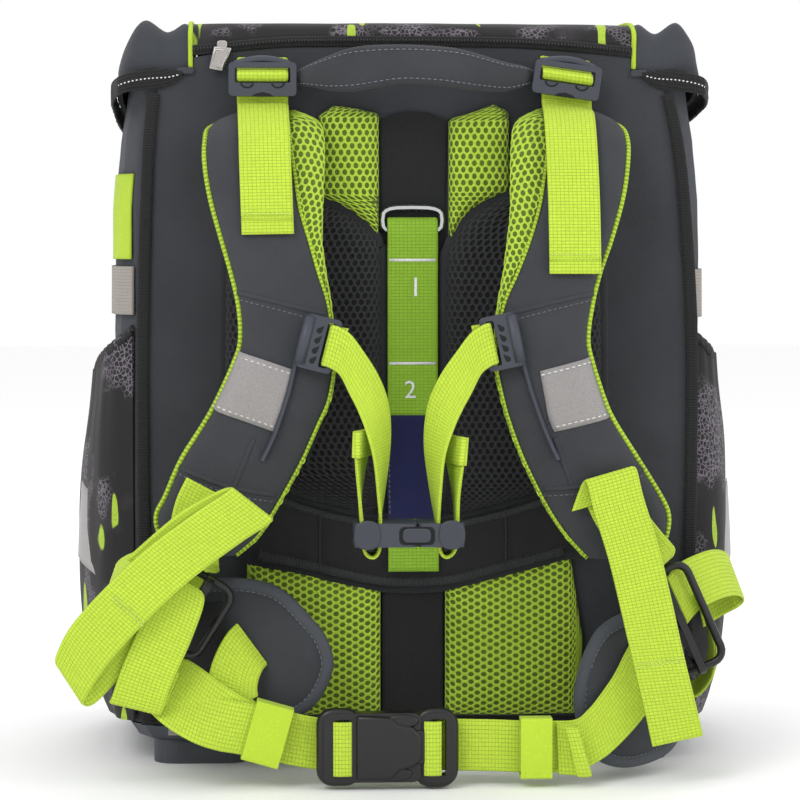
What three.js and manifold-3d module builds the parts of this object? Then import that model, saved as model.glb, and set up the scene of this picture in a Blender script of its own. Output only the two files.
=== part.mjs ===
// School ransel: a box-shaped child's school backpack standing on its base, harness side toward -Y.
// Millimetres, +Z up, origin under the middle of the whole object on the ground.
// Tables give x in percent of HALF_WIDTH and z in percent of HEIGHT. Their y is in percent of DEPTH
// where it is positive (the bag) and in percent of STANDOFF where it is negative (the harness).
import * as THREE from 'three';
import { mergeVertices } from 'three/addons/utils/BufferGeometryUtils.js';
import Module from 'manifold-3d';

// Driving sizes of the bag
const HALF_WIDTH = 150;
const HEIGHT = 370;
const DEPTH = 200;
const STANDOFF = 50;
const GAP = 0.35;
const SHELL_WALL = 2.4;
const LID_WALL = 2.6;
const PANEL_THICK = 3;
const POCKET_BULGE = 18;
const POCKET_WALL = 1.8;
const FOOT_HEIGHT = 10;
const TRAY_HEIGHT = 10;
const TRAY_FLOOR = 3;
const HEM_THICK = 1.8;

// Driving sizes of the harness
const WEB = 25;
const CENTRE_WEB = HALF_WIDTH / 6;
const WEB_THICK = 1.6;
const CHEST_WEB = 20;
const STRAP_THICK = 11;
const BACK_PAD_THICK = 15;
const YOKE_THICK = 11;
const LUMBAR_THICK = 13;
const FIN_THICK = 7;
const HANDLE_THICK = 9;
const RING_WIRE = 3;
const RAIL_WIRE = 2.6;
const BUCKLE_THICK = 4;

const fabric = { grey: 0x48494e, black: 0x1f2022, print: 0x2b2729, lime: 0xb4d834, mesh: 0x9fc42c };
const wasm = await Module();
wasm.setup();

const ransel = new THREE.Group();

function point(x, y, z) {
  const deep = y < 0 ? STANDOFF : DEPTH;
  return new THREE.Vector3(x * HALF_WIDTH / 100, y * deep / 100, z * HEIGHT / 100);
}

// Smooth in-between rows of a table of equal-length number rows
function smooth(rows, steps) {
  const out = [];
  const last = rows.length - 1;
  for (let i = 0; i < last; i += 1) {
    const before = rows[Math.max(i - 1, 0)];
    const after = rows[Math.min(i + 2, last)];
    for (let k = 0; k < steps; k += 1) {
      const t = k / steps;
      out.push(rows[i].map((b, j) => {
        const c = rows[i + 1][j];
        const slopeB = (c - before[j]) / 2;
        const slopeC = (after[j] - b) / 2;
        const h00 = 2 * t ** 3 - 3 * t ** 2 + 1;
        const h10 = t ** 3 - 2 * t ** 2 + t;
        const h01 = 3 * t ** 2 - 2 * t ** 3;
        const h11 = t ** 3 - t ** 2;
        return h00 * b + h10 * slopeB + h01 * c + h11 * slopeC;
      }));
    }
  }
  out.push(rows[last]);
  return out;
}

// Closed body from rings of equally many points, with both ends capped by flat-profile triangles
function solidFromRings(rings, capShape) {
  const count = rings[0].length;
  const positions = rings.flat().flatMap((p) => [p.x, p.y, p.z]);
  const index = [];
  for (let r = 0; r + 1 < rings.length; r += 1) {
    for (let k = 0; k < count; k += 1) {
      const a = r * count + k;
      const b = r * count + (k + 1) % count;
      index.push(a, b, b + count, a, b + count, a + count);
    }
  }
  const end = (rings.length - 1) * count;
  const firstCap = THREE.ShapeUtils.triangulateShape(capShape(0), []);
  const lastCap = THREE.ShapeUtils.triangulateShape(capShape(rings.length - 1), []);
  const forward = THREE.ShapeUtils.area(capShape(0)) > 0;
  for (const [a, b, c] of firstCap) {
    index.push(...(forward ? [c, b, a] : [a, b, c]));
  }
  for (const [a, b, c] of lastCap) {
    index.push(...(forward ? [end + a, end + b, end + c] : [end + c, end + b, end + a]));
  }
  return finish(positions, index);
}

// Turns the faces of a body out, whichever way its rings ran
function finish(positions, index) {
  let volume = 0;
  const at = (i) => new THREE.Vector3(...positions.slice(3 * i, 3 * i + 3));
  for (let i = 0; i < index.length; i += 3) {
    volume += at(index[i]).dot(at(index[i + 1]).cross(at(index[i + 2])));
  }
  if (volume < 0) {
    index.reverse();
  }
  const geometry = new THREE.BufferGeometry();
  geometry.setAttribute('position', new THREE.Float32BufferAttribute(positions, 3));
  geometry.setIndex(index);
  geometry.computeVertexNormals();
  return geometry;
}

// Body between two edge lines: each row holds points a and b, and profile(row) gives
// [share of the way from a to b, height above that line] corners
function band(rows, profile) {
  const mids = rows.map((row) => row.a.clone().add(row.b).multiplyScalar(0.5));
  const shapes = rows.map((row) => profile(row));
  const rings = rows.map((row, i) => {
    const across = row.b.clone().sub(row.a);
    const along = mids[Math.min(i + 1, rows.length - 1)].clone().sub(mids[Math.max(i - 1, 0)]);
    const out = along.cross(across).normalize();
    return shapes[i].map(([share, height]) => row.a.clone()
      .addScaledVector(across, share)
      .addScaledVector(out, height));
  });
  const capShape = (r) => {
    const wide = rows[r].a.distanceTo(rows[r].b);
    return shapes[r].map(([share, height]) => new THREE.Vector2(share * wide, height));
  };
  return solidFromRings(rings, capShape);
}

// Webbing along a route of [x, y, z, turn, lean] rows: turn is the width's angle in the front view,
// lean its angle into the depth
function ribbon(route, width, thick, steps) {
  const rows = smooth(route, steps).map(([x, y, z, turn, lean]) => {
    const t = THREE.MathUtils.degToRad(turn);
    const l = THREE.MathUtils.degToRad(lean);
    const half = new THREE.Vector3(Math.cos(t) * Math.cos(l), Math.sin(l), Math.sin(t) * Math.cos(l));
    half.multiplyScalar(width / 2);
    const middle = point(x, y, z);
    return { a: middle.clone().sub(half), b: middle.clone().add(half) };
  });
  return band(rows, () => [[0, -thick / 2], [1, -thick / 2], [1, thick / 2], [0, thick / 2]]);
}

// Cloth wall from a grid of outer points, thickened inward
function sheet(grid, thick, inward) {
  const rows = grid.length;
  const columns = grid[0].length;
  const inner = grid.map((line, r) => line.map((p, c) => {
    const du = grid[r][Math.min(c + 1, columns - 1)].clone().sub(grid[r][Math.max(c - 1, 0)]);
    const dv = grid[Math.min(r + 1, rows - 1)][c].clone().sub(grid[Math.max(r - 1, 0)][c]);
    return p.clone().addScaledVector(du.cross(dv).normalize(), thick * inward);
  }));
  const positions = [...grid.flat(), ...inner.flat()].flatMap((p) => [p.x, p.y, p.z]);
  const index = [];
  const far = rows * columns;
  const quad = (a, b, c, d) => index.push(a, b, c, a, c, d);
  for (let r = 0; r + 1 < rows; r += 1) {
    for (let c = 0; c + 1 < columns; c += 1) {
      const a = r * columns + c;
      quad(a, a + 1, a + columns + 1, a + columns);
      quad(far + a, far + a + columns, far + a + columns + 1, far + a + 1);
    }
  }
  for (let c = 0; c + 1 < columns; c += 1) {
    const top = (rows - 1) * columns + c;
    quad(c + 1, c, far + c, far + c + 1);
    quad(top, top + 1, far + top + 1, far + top);
  }
  for (let r = 0; r + 1 < rows; r += 1) {
    const left = r * columns;
    const right = left + columns - 1;
    quad(left, left + columns, far + left + columns, far + left);
    quad(right + columns, right, far + right, far + right + columns);
  }
  return finish(positions, index);
}

// Sewn pad on the back panel: outline corners in the front view, a thin rim and a raised middle
function pad(outline, back, rim, thick, inset) {
  const corners = outline.map(([x, z]) => point(x, 0, z));
  const flat = corners.map((p) => new THREE.Vector2(p.x, p.z));
  const turn = Math.sign(THREE.ShapeUtils.area(flat));
  const inner = flat.map((p, i) => {
    const before = flat[(i + flat.length - 1) % flat.length];
    const after = flat[(i + 1) % flat.length];
    const n1 = new THREE.Vector2(before.y - p.y, p.x - before.x).normalize();
    const n2 = new THREE.Vector2(p.y - after.y, after.x - p.x).normalize();
    const n = n1.add(n2).normalize().multiplyScalar(turn * inset);
    return p.clone().add(n);
  });
  const ring = (points, y) => points.map((p) => new THREE.Vector3(p.x, y, p.y));
  const rings = [ring(flat, back), ring(flat, back - rim), ring(inner, back - thick)];
  return solidFromRings(rings, () => flat);
}

function extrude(shape, thick) {
  const geometry = new THREE.ExtrudeGeometry(shape, { depth: thick, bevelEnabled: false, curveSegments: 3 });
  geometry.rotateX(Math.PI / 2);
  geometry.translate(0, thick, 0);
  geometry.deleteAttribute('normal');
  geometry.deleteAttribute('uv');
  return mergeVertices(geometry, 1e-4);
}

function toManifold(geometry) {
  const plain = mergeVertices(geometry.clone().deleteAttribute('normal'), 1e-4);
  return new wasm.Manifold(new wasm.Mesh({
    numProp: 3,
    vertProperties: new Float32Array(plain.attributes.position.array),
    triVerts: new Uint32Array(plain.index.array),
  }));
}

function fromManifold(solid) {
  const mesh = solid.getMesh();
  const geometry = new THREE.BufferGeometry();
  geometry.setAttribute('position', new THREE.BufferAttribute(new Float32Array(mesh.vertProperties), 3));
  geometry.setIndex(new THREE.BufferAttribute(new Uint32Array(mesh.triVerts), 1));
  return geometry;
}

function roundedBox(x0, z0, x1, z1, radius) {
  const shape = new THREE.Shape();
  shape.moveTo(x0 + radius, z0);
  shape.lineTo(x1 - radius, z0);
  shape.absarc(x1 - radius, z0 + radius, radius, -Math.PI / 2, 0);
  shape.lineTo(x1, z1 - radius);
  shape.absarc(x1 - radius, z1 - radius, radius, 0, Math.PI / 2);
  shape.lineTo(x0 + radius, z1);
  shape.absarc(x0 + radius, z1 - radius, radius, Math.PI / 2, Math.PI);
  shape.lineTo(x0, z0 + radius);
  shape.absarc(x0 + radius, z0 + radius, radius, Math.PI, Math.PI * 1.5);
  return shape;
}

function cut(shape, hole) {
  shape.holes.push(hole);
  return shape;
}

function add(name, geometry, colour, roughness = 0.85, metalness = 0) {
  const material = new THREE.MeshStandardMaterial({ color: colour, roughness, metalness });
  const mesh = new THREE.Mesh(geometry, material);
  mesh.name = name;
  ransel.add(mesh);
  return mesh;
}

const SIDES = [['left', -1], ['right', 1]];

// Horizontal outline of the bag: [x, y] from the middle of the back to the middle of the front
const BODY_OUTLINE = [
  [0, 1.7], [45, 1.7], [84, 1.7], [91.5, 4], [96.5, 10], [99.2, 25], [100, 45],
  [99.5, 65], [97, 82], [91, 94], [80, 100], [45, 102], [0, 102],
];

// Width of the bag at each height, up from the tray: [z, share of the outline]
const SHELL_LOW = (FOOT_HEIGHT + TRAY_HEIGHT + GAP) / HEIGHT * 100;
const BODY_HEIGHTS = [
  [SHELL_LOW, 0.955], [7.5, 0.985], [14, 1], [50, 1], [76, 0.995], [84, 0.975], [89, 0.955], [92.4, 0.945],
];

function bodyScale(z) {
  const rows = BODY_HEIGHTS;
  const above = rows.findIndex(([height]) => height >= z);
  if (above < 1) {
    return above === 0 ? rows[0][1] : rows[rows.length - 1][1];
  }
  const [z0, s0] = rows[above - 1];
  const [z1, s1] = rows[above];
  return s0 + (s1 - s0) * (z - z0) / (z1 - z0);
}

// Outline of the side wall at one depth share
function sideAt(y) {
  const rows = BODY_OUTLINE.slice(2, 11);
  const above = rows.findIndex(([, depth]) => depth >= y);
  const i = Math.max(above, 1);
  const [x0, y0] = rows[i - 1];
  const [x1, y1] = rows[i];
  return x0 + (x1 - x0) * Math.min(Math.max((y - y0) / (y1 - y0), 0), 1);
}

function bodyRing(z, shrink) {
  const half = BODY_OUTLINE.map(([x, y]) => {
    const p = point(x * bodyScale(z), y, z);
    const toMiddle = new THREE.Vector2(-p.x, DEPTH / 2 - p.y);
    const share = new THREE.Vector2(Math.abs(p.x) > HALF_WIDTH / 2 ? Math.sign(toMiddle.x) : 0,
      Math.abs(toMiddle.y) > DEPTH * 0.4 ? Math.sign(toMiddle.y) : 0);
    return new THREE.Vector3(p.x + share.x * shrink, p.y + share.y * shrink, p.z);
  });
  const other = half.slice(1, -1).reverse().map((p) => new THREE.Vector3(-p.x, p.y, p.z));
  return [...half, ...other];
}

function makeShell() {
  const outer = BODY_HEIGHTS.map(([z]) => bodyRing(z, 0));
  const innerHeights = [...BODY_HEIGHTS].reverse().map(([z]) => z);
  const inner = innerHeights.map((z, i) => {
    const ring = bodyRing(z, SHELL_WALL);
    const lift = i === innerHeights.length - 1 ? SHELL_WALL : 0;
    return ring.map((p) => new THREE.Vector3(p.x, p.y, p.z + lift));
  });
  const rings = [...outer, ...inner];
  const flat = (r) => rings[r].map((p) => new THREE.Vector2(p.x, p.y));
  return solidFromRings(rings, flat);
}

// Grey back panel: corners in the front view, its upper strip runs up to the zip
const PANEL_OUTLINE = [
  [-86.5, 6.5], [-87.3, 50], [-86, 80], [-83, 92.7], [-71.8, 92.7], [-71.8, 94.7], [-57, 95.9], [0, 96.5],
  [57, 95.9], [71.8, 95.2], [71.8, 92.7], [82, 92.7], [87, 80], [90.8, 60], [90.8, 40], [89.5, 6.5],
];

// Bound seams on the back corners: [x, y, z]
const BINDING = {
  left: [[-85, -3, 89.9], [-87, -3, 80], [-88.6, -3, 60], [-88.8, -3, 40], [-88.2, -3, 20], [-87.8, -3, 5.8]],
  right: [[84, -3, 89.9], [88.6, -3, 80], [92.2, -3, 60], [92.4, -3, 40], [91.6, -3, 20], [91, -3, 5.8]],
};
const BINDING_WIDTH = 6;
const BINDING_THICK = 2;

// Base tray with four feet
const FEET = [[-70, 12], [70, 12], [-70, 88], [70, 88]];
const FOOT_LENGTH = 48;
const FOOT_WIDTH = 30;
const FOOT_RADIUS = 12;

function makeTray() {
  const level = (z, scale) => bodyRing(SHELL_LOW, 0).map((p) => new THREE.Vector3(
    p.x * scale, DEPTH / 2 + (p.y - DEPTH / 2) * scale, z));
  const rings = [
    level(FOOT_HEIGHT, 0.93), level(FOOT_HEIGHT + TRAY_HEIGHT * 0.35, 0.985),
    level(FOOT_HEIGHT + TRAY_HEIGHT, 1.015),
  ];
  const flat = (list) => (r) => list[r].map((p) => new THREE.Vector2(p.x, p.y));
  const recess = [level(FOOT_HEIGHT - 1, 0.9), level(FOOT_HEIGHT + TRAY_HEIGHT - TRAY_FLOOR, 0.955)];
  let tray = toManifold(solidFromRings(rings, flat(rings)));
  tray = tray.subtract(toManifold(solidFromRings(recess, flat(recess))));
  for (const [x, y] of FEET) {
    const middle = point(x, y, 0);
    const foot = roundedBox(-FOOT_LENGTH / 2, -FOOT_WIDTH / 2, FOOT_LENGTH / 2, FOOT_WIDTH / 2, FOOT_RADIUS);
    const block = new THREE.ExtrudeGeometry(foot, {
      depth: FOOT_HEIGHT + TRAY_HEIGHT / 2, bevelEnabled: false, curveSegments: 3,
    });
    block.deleteAttribute('uv');
    block.translate(middle.x, middle.y, 0);
    tray = tray.add(toManifold(block));
  }
  return fromManifold(tray);
}

// Top and flap of the lid: [half width, y, z at the middle, z at the edges]
const LID_ROWS = [
  [72, 0.4, 97, 95.6], [72, 0.9, 98.2, 97], [72.1, 4, 99.3, 98.9], [72.2, 14, 99.8, 99.5],
  [72.2, 45, 100, 99.9], [72.2, 80, 99.4, 99], [72.6, 95, 97, 96.6], [74.4, 103.8, 92.8, 92.6],
  [76, 105.6, 86.8, 86.8], [82, 106.2, 80, 80], [90, 106.4, 70, 70], [91, 106.6, 57, 57],
  [88, 106.6, 48, 49.5], [78, 106.5, 44.5, 47],
];
const LID_COLUMNS = [-1, -0.8, -0.5, 0, 0.5, 0.8, 1];

function makeLid() {
  const grid = LID_ROWS.map(([half, y, middle, edge]) => LID_COLUMNS.map((c) => {
    const z = middle + (edge - middle) * c ** 2;
    return point(half * c, y, z);
  }));
  return sheet(grid, LID_WALL, -1);
}

// Grey corner wings of the lid, rows from the back hem over the top to the front hem and
// points from the piping to the side hem: [x, y, z]
const WING = [
  [
    [72.8, 0.6, 93.2], [76, 0.4, 93.1], [80.5, 0.4, 93.1], [86, 0.4, 93.2], [91, 1.5, 92.9],
    [94.6, 4, 92.5], [96.8, 9, 91.6],
  ],
  [
    [72.8, 0.3, 95.8], [75, 0.2, 96], [80.5, 0.8, 95.4], [86.6, 0.2, 96.4], [91.6, 0.8, 95.6],
    [95.2, 5, 93.6], [97.4, 13, 91.2],
  ],
  [
    [72.8, 0.8, 98.2], [74.8, 1.5, 99], [80.5, 3, 97.9], [87.4, 3, 99.6], [92.6, 4, 97.4],
    [95.6, 9, 94.4], [97.6, 19, 90.4],
  ],
  [
    [72.8, 12, 99.5], [76, 12, 99.2], [81, 12, 98.2], [87.2, 13, 99], [92.8, 14, 97.2],
    [96.8, 20, 93.6], [97.8, 31, 89.4],
  ],
  [
    [72.8, 45, 99.9], [78, 45, 99.7], [83, 45, 99.2], [88.5, 45, 98.4], [94, 46, 96], [96.8, 47, 92.6],
    [97.9, 50, 88.8],
  ],
  [
    [73, 82, 98.9], [78, 82, 98.8], [83, 82, 98.3], [88.5, 82, 97], [93.4, 82, 94.8], [95.8, 81, 91.6],
    [97.2, 80, 88.2],
  ],
  [
    [74.4, 98.4, 95.4], [78, 98.6, 94.8], [83, 98.8, 94], [87.6, 98.4, 92.8], [91, 97, 91],
    [93.8, 94.6, 89.2], [95.4, 91.4, 87.2],
  ],
  [
    [77.4, 105.4, 88], [79.8, 105, 87], [82.6, 104.6, 86], [85.2, 103.8, 85], [87.6, 102.6, 84.8],
    [90.4, 101, 85], [92.8, 99, 85.6],
  ],
];

function makeWing(side) {
  const lines = smooth(WING.map((row) => row.flat()), 2);
  const grid = lines.map((line) => {
    const points = [];
    for (let i = 0; i < line.length; i += 3) {
      points.push(point(side * line[i], line[i + 1], line[i + 2]));
    }
    return points;
  });
  return sheet(grid, LID_WALL, -side);
}

// Elastic hem of the wing: [x, y, z of its upper edge, z of its lower edge]
const WING_HEM = [
  [75.5, -3, 92.9, 92.1], [80, -3, 93.2, 90.9], [87, -3.4, 93.3, 90.4], [93.6, -3, 92.6, 90.1],
  [97.4, 3.5, 92, 89.4],
  [98.9, 11, 91.4, 88.6], [98.9, 20, 90.8, 88], [98.9, 31, 90.2, 87.4], [98.9, 46, 89.6, 86.8],
  [98.8, 62, 89.2, 86.4],
  [98.2, 80, 88.6, 85.8], [96.8, 92.6, 87.6, 84.8], [94.2, 100.6, 86.2, 83.4],
];

function makeWingHem(side) {
  const rows = WING_HEM.map(([x, y, top, low]) => ({
    a: point(side * x, y, low), b: point(side * x, y, top),
  }));
  const t = HEM_THICK / 2;
  return band(rows, () => [[0, -t], [1, -t], [1, t], [0, t]]);
}

// Side pocket: share of the bulge at each height and height of the mouth from back to front
const POCKET_PROFILE = [
  [0, 0.12], [0.06, 0.45], [0.16, 0.78], [0.34, 0.98], [0.55, 1], [0.75, 0.88], [0.9, 0.66], [1, 0.5],
];
const POCKET_DEPTHS = [4, 10, 25, 36, 48, 60, 72, 82, 91];
const POCKET_LOW = 6;
const POCKET_MOUTH_BACK = 59;
const POCKET_MOUTH_FRONT = 44;

function makePocket(side) {
  const grid = POCKET_PROFILE.map(([rise, swell]) => POCKET_DEPTHS.map((y, i) => {
    const u = i / (POCKET_DEPTHS.length - 1);
    const mouth = POCKET_MOUTH_BACK + (POCKET_MOUTH_FRONT - POCKET_MOUTH_BACK) * u ** 0.8;
    const z = POCKET_LOW + (mouth - POCKET_LOW) * rise;
    const bulge = POCKET_BULGE * swell * Math.sin(Math.PI * u) ** 0.75;
    const p = point(sideAt(y), y, z);
    return new THREE.Vector3(side * (p.x + GAP + bulge), p.y, p.z);
  }));
  return sheet(grid, POCKET_WALL, side);
}

// Compression webs on the side walls: height, width and depth stations
const SIDE_WEB_HEIGHT = { left: 63.8, right: 63.4 };
const SIDE_WEB_WIDTH = 24;
const SIDE_DEPTHS = [4, 10, 25, 45, 48];

function sideSheet(side, depths, low, high, thick) {
  const grid = [low, high].map((z) => depths.map((y) => {
    const p = point(sideAt(y) * bodyScale(z), y, z);
    return new THREE.Vector3(side * (p.x + GAP), p.y, p.z);
  }));
  return sheet(grid, thick, side);
}

// Padded wings of the hip belt, carried by the back panel: [x, y, low z, high z]
const FIN = {
  left: [
    [-86.5, -6.2, 12, 21], [-85, -26, 10.4, 22.6], [-81, -42, 8.6, 24.4], [-74, -58, 7.4, 25.6],
    [-61, -76, 6.9, 26.5],
    [-50, -84, 7, 26.1], [-43, -88, 7.8, 24.7], [-36.3, -92, 9.4, 21.9], [-32, -92, 11.6, 19.7],
    [-29.4, -92, 14.4, 17],
  ],
  right: [
    [88, -5, 8, 20], [86.5, -26, 4.6, 21.8], [82, -50, 2.6, 22.4], [75, -70, 1.7, 22.4],
    [67, -86, 1.5, 21.8],
    [60, -96, 2.4, 20.4], [56, -100, 4.2, 18], [53.4, -100, 6.6, 15], [52, -100, 9.4, 12],
  ],
};

function makeFin(name) {
  const rows = FIN[name].map(([x, y, low, high]) => ({
    a: point(x, y, low), b: point(x, y, high), soft: Math.min((high - low) / 12, 1),
  }));
  return band(rows, ({ soft }) => {
    const t = FIN_THICK * (0.45 + 0.55 * soft) / 2;
    return [
      [0, -t * 0.5], [0.15, -t], [0.85, -t], [1, -t * 0.5], [1, t * 0.5], [0.85, t], [0.15, t], [0, t * 0.5],
    ];
  });
}

// Shoulder straps: [y, outer x, outer z, inner x, inner z, share of the width under grey cover]
const STRAP = {
  left: [
    [-3.6, -58, 86.3, -36, 86.7, 0.72], [-32, -67.1, 85.2, -30.8, 85.6, 0.71],
    [-52, -68.9, 83.5, -29.9, 82.6, 0.72],
    [-68, -68.9, 80.2, -30.2, 78.2, 0.76], [-78, -67, 75.7, -30.6, 74, 0.8],
    [-86, -63.5, 70.6, -30.7, 70.4, 0.87],
    [-92, -60.7, 66.7, -29.5, 66.4, 0.915], [-96, -58.1, 62.2, -27.9, 62.5, 0.96],
    [-100, -57.5, 57.7, -27, 58.6, 0.975],
    [-100, -59.8, 54.6, -26.4, 54.8, 0.98], [-100, -65.6, 49.6, -28, 50.2, 0.98],
    [-98, -70, 46.5, -31.5, 46.8, 0.98],
    [-96, -76.7, 42.2, -36.4, 42.3, 0.98], [-92, -81.6, 37.6, -42.4, 37.8, 0.98],
    [-90, -84.6, 35, -46.4, 35, 0.98],
    [-88, -83.4, 32.6, -51, 32.2, 0.98], [-86, -78, 30.2, -58, 29.8, 0.98],
  ],
  right: [
    [-4, 60, 86.6, 39, 87, 0.72], [-32, 67.7, 85.4, 33, 85.8, 0.68], [-52, 69.5, 83.5, 31.1, 82.6, 0.69],
    [-68, 68.8, 80.2, 30.4, 77.6, 0.72], [-78, 66.8, 75.9, 30, 74.1, 0.75],
    [-86, 62.8, 70.6, 28.5, 69.6, 0.8],
    [-92, 59.2, 66.7, 27.1, 66, 0.86], [-96, 56.5, 62.6, 25.4, 62.6, 0.93],
    [-100, 54.8, 57.9, 24.2, 58.6, 0.97],
    [-100, 56.2, 54.8, 23.8, 54.8, 0.98], [-100, 60.3, 49.8, 26, 50.3, 0.98],
    [-98, 63.6, 47, 28.6, 46.7, 0.98],
    [-96, 71.2, 42.2, 32.5, 42.5, 0.98], [-92, 79, 37.2, 38.8, 37.3, 0.98],
    [-90, 81.6, 34.7, 43, 34.4, 0.98],
    [-88, 80.9, 32, 47.8, 31.8, 0.98], [-86, 78, 29.4, 54, 29.2, 0.98],
  ],
};

function strapRows(name) {
  return STRAP[name].map(([y, xo, zo, xi, zi, seam]) => ({ a: point(xo, y, zo), b: point(xi, y, zi), seam }));
}

// Order of the corners makes the height point away from the bag on both sides
function coverProfile({ seam }) {
  const t = STRAP_THICK / 2;
  return [
    [0.04, 0], [0.045, t * 0.55], [0.13, t * 0.95], [0.5, t * 1.1], [seam - 0.08, t * 0.9],
    [seam - 0.014, t * 0.5], [seam - 0.014, 0],
  ];
}

function liningProfile({ seam }) {
  const t = STRAP_THICK / 2;
  const roll = (1 - seam) / 2;
  return [
    [0, -GAP], [0, -t * 0.5], [0.1, -t * 0.95], [0.5, -t], [0.9, -t * 0.9], [1, -t * 0.35], [1, t * 0.35],
    [seam + roll, t * 0.8], [seam, t * 0.55], [seam, -GAP],
  ];
}

function strapSide(name, profile) {
  const sign = name === 'left' ? 1 : -1;
  return band(strapRows(name), (row) => profile(row).map(([share, height]) => [share, sign * height]));
}

// Flat pieces sewn on the back panel, corners in the front view
const PADS = {
  back_left: [
    [-10.6, 36], [-10.4, 66], [-11.3, 69.8], [-14, 71.7], [-18, 73.1], [-24, 74.7], [-31, 75.8],
    [-45, 76.3], [-56, 75],
    [-61, 70], [-62, 58], [-62, 44], [-58, 39.6], [-50, 38], [-37.3, 36.1], [-18, 34.2], [-12, 33.9],
  ],
  back_right: [
    [10.6, 36], [10.4, 65], [11.5, 69.2], [16, 72.6], [20, 74.2], [24.5, 75.2], [30, 76.4], [45, 76.8],
    [56, 75],
    [61, 70], [62, 58], [62, 44], [59, 40], [52.7, 38.2], [41.3, 36.6], [16, 33.9], [12, 33.9],
  ],
  yoke_left: [
    [-11.3, 70.3], [-11.3, 87.3], [-18.7, 88], [-26, 88.4], [-31, 87], [-31, 76.2], [-24, 75.1],
    [-18, 73.5], [-14, 72.1],
  ],
  yoke_right: [
    [11.5, 69.7], [11.5, 86.6], [20, 87.6], [26.5, 88.6], [31.4, 87.6], [31.4, 77], [24.5, 75.7],
    [20, 74.7], [16, 73.1],
  ],
  lumbar_left: [
    [-54.7, 28.1], [-38, 26.5], [-24.7, 25.2], [-10.7, 24.1], [-10.7, 7.3], [-33, 7.1], [-54, 7.3],
    [-56, 16],
  ],
  lumbar_right: [
    [10.3, 24.1], [27.3, 25.8], [40, 27.2], [52, 28.5], [56.4, 16.8], [54, 7], [30, 6.9], [10.3, 7],
  ],
};
const BAND_OUTLINE = [
  [-55.5, 38], [-50, 37.6], [-37.3, 35.7], [-18, 33.8], [0, 33.1], [16, 33.5], [41.3, 36.2],
  [52.7, 37.8], [55.5, 38.4],
  [55.5, 29.2], [50.7, 28.7], [27.3, 26.2], [9.3, 24.5], [-8.7, 24.4], [-24.7, 25.6], [-38, 27],
  [-54.7, 28.5],
];
const CHANNEL_OUTLINE = [
  [-10.3, 33.8], [-9.8, 66], [-10.9, 86.4], [-5, 87.4], [0, 87.6], [5, 87.4], [11.1, 86.4], [9.8, 66],
  [10.3, 33.8],
];
const CHANNEL_THICK = 1.8;
const BAND_THICK = 14;
const BAND_RIM = 6;
const BAND_INSET = 5;
const LUMBAR_PANEL = [[-10.2, 23.9], [0, 23.8], [9.8, 23.8], [9.9, 7], [0, 7], [-10.3, 7.1]];
const LUMBAR_PANEL_THICK = 5;

// Height adjuster web: [y, z], and the oval ring that it passes
const ADJUSTER = [
  [-9, 73.4], [-14.5, 72.9], [-17, 71.4], [-16.5, 66], [-19, 40], [-25, 36], [-31, 33], [-31.4, 26.6],
];
const RING = { x: -0.4, z: 73.2, y: -9.2, halfWidth: CENTRE_WEB * 0.584, halfHeight: 6.2 };

// Round wire along a list of points, open with flat ends or closed on itself
function wire(points, radius, sides, closed = false) {
  const count = points.length;
  const rings = points.map((p, i) => {
    const next = points[closed ? (i + 1) % count : Math.min(i + 1, count - 1)];
    const before = points[closed ? (i + count - 1) % count : Math.max(i - 1, 0)];
    const along = next.clone().sub(before).normalize();
    const side = new THREE.Vector3(0, 1, 0).cross(along).normalize();
    const up = along.clone().cross(side);
    return Array.from({ length: sides }, (_, k) => {
      const a = k / sides * Math.PI * 2;
      return p.clone().addScaledVector(side, Math.cos(a) * radius).addScaledVector(up, Math.sin(a) * radius);
    });
  });
  if (!closed) {
    const circle = Array.from({ length: sides }, (_, k) => new THREE.Vector2(
      Math.cos(k / sides * Math.PI * 2), Math.sin(k / sides * Math.PI * 2)));
    return solidFromRings(rings, () => circle);
  }
  const index = [];
  for (let r = 0; r < count; r += 1) {
    for (let k = 0; k < sides; k += 1) {
      const a = r * sides + k;
      const b = r * sides + (k + 1) % sides;
      const far = ((r + 1) % count) * sides;
      index.push(a, b, far + (k + 1) % sides, a, far + (k + 1) % sides, far + k);
    }
  }
  return finish(rings.flat().flatMap((p) => [p.x, p.y, p.z]), index);
}

function makeRing() {
  const corners = 20;
  const squareness = 0.55;
  const points = Array.from({ length: corners }, (_, i) => {
    const a = i / corners * Math.PI * 2;
    const middle = point(RING.x, RING.y, RING.z);
    middle.x += Math.sign(Math.cos(a)) * Math.abs(Math.cos(a)) ** squareness * RING.halfWidth;
    middle.z += Math.sign(Math.sin(a)) * Math.abs(Math.sin(a)) ** squareness * RING.halfHeight;
    return middle;
  });
  return wire(points, RING_WIRE / 2, 6, true);
}

// Carry handle: [x, y, low z, high z]
const HANDLE = [
  [-39, -3.6, 91, 92.6], [-34, -24, 90.7, 93.6], [-27, -42, 90, 94.8], [-19, -56, 89.9, 95.8],
  [-5, -64, 90.8, 96],
  [8, -60, 90.6, 95.8], [15.5, -54, 90.2, 95.4], [28, -34, 90, 94.1], [35, -20, 90.8, 93.6],
  [39.6, -3.6, 91.6, 93],
];

function makeHandle() {
  const rows = HANDLE.map(([x, y, low, high], i) => ({
    a: point(x, y, low), b: point(x, y, high), thick: i === 0 || i === HANDLE.length - 1 ? 0.45 : 1,
  }));
  return band(rows, ({ thick }) => {
    const t = HANDLE_THICK / 2 * thick;
    return [
      [0.02, -t * 0.3], [0.25, -t], [0.75, -t], [0.98, -t * 0.3], [0.98, t * 0.3], [0.75, t], [0.25, t],
      [0.02, t * 0.3],
    ];
  });
}

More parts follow.
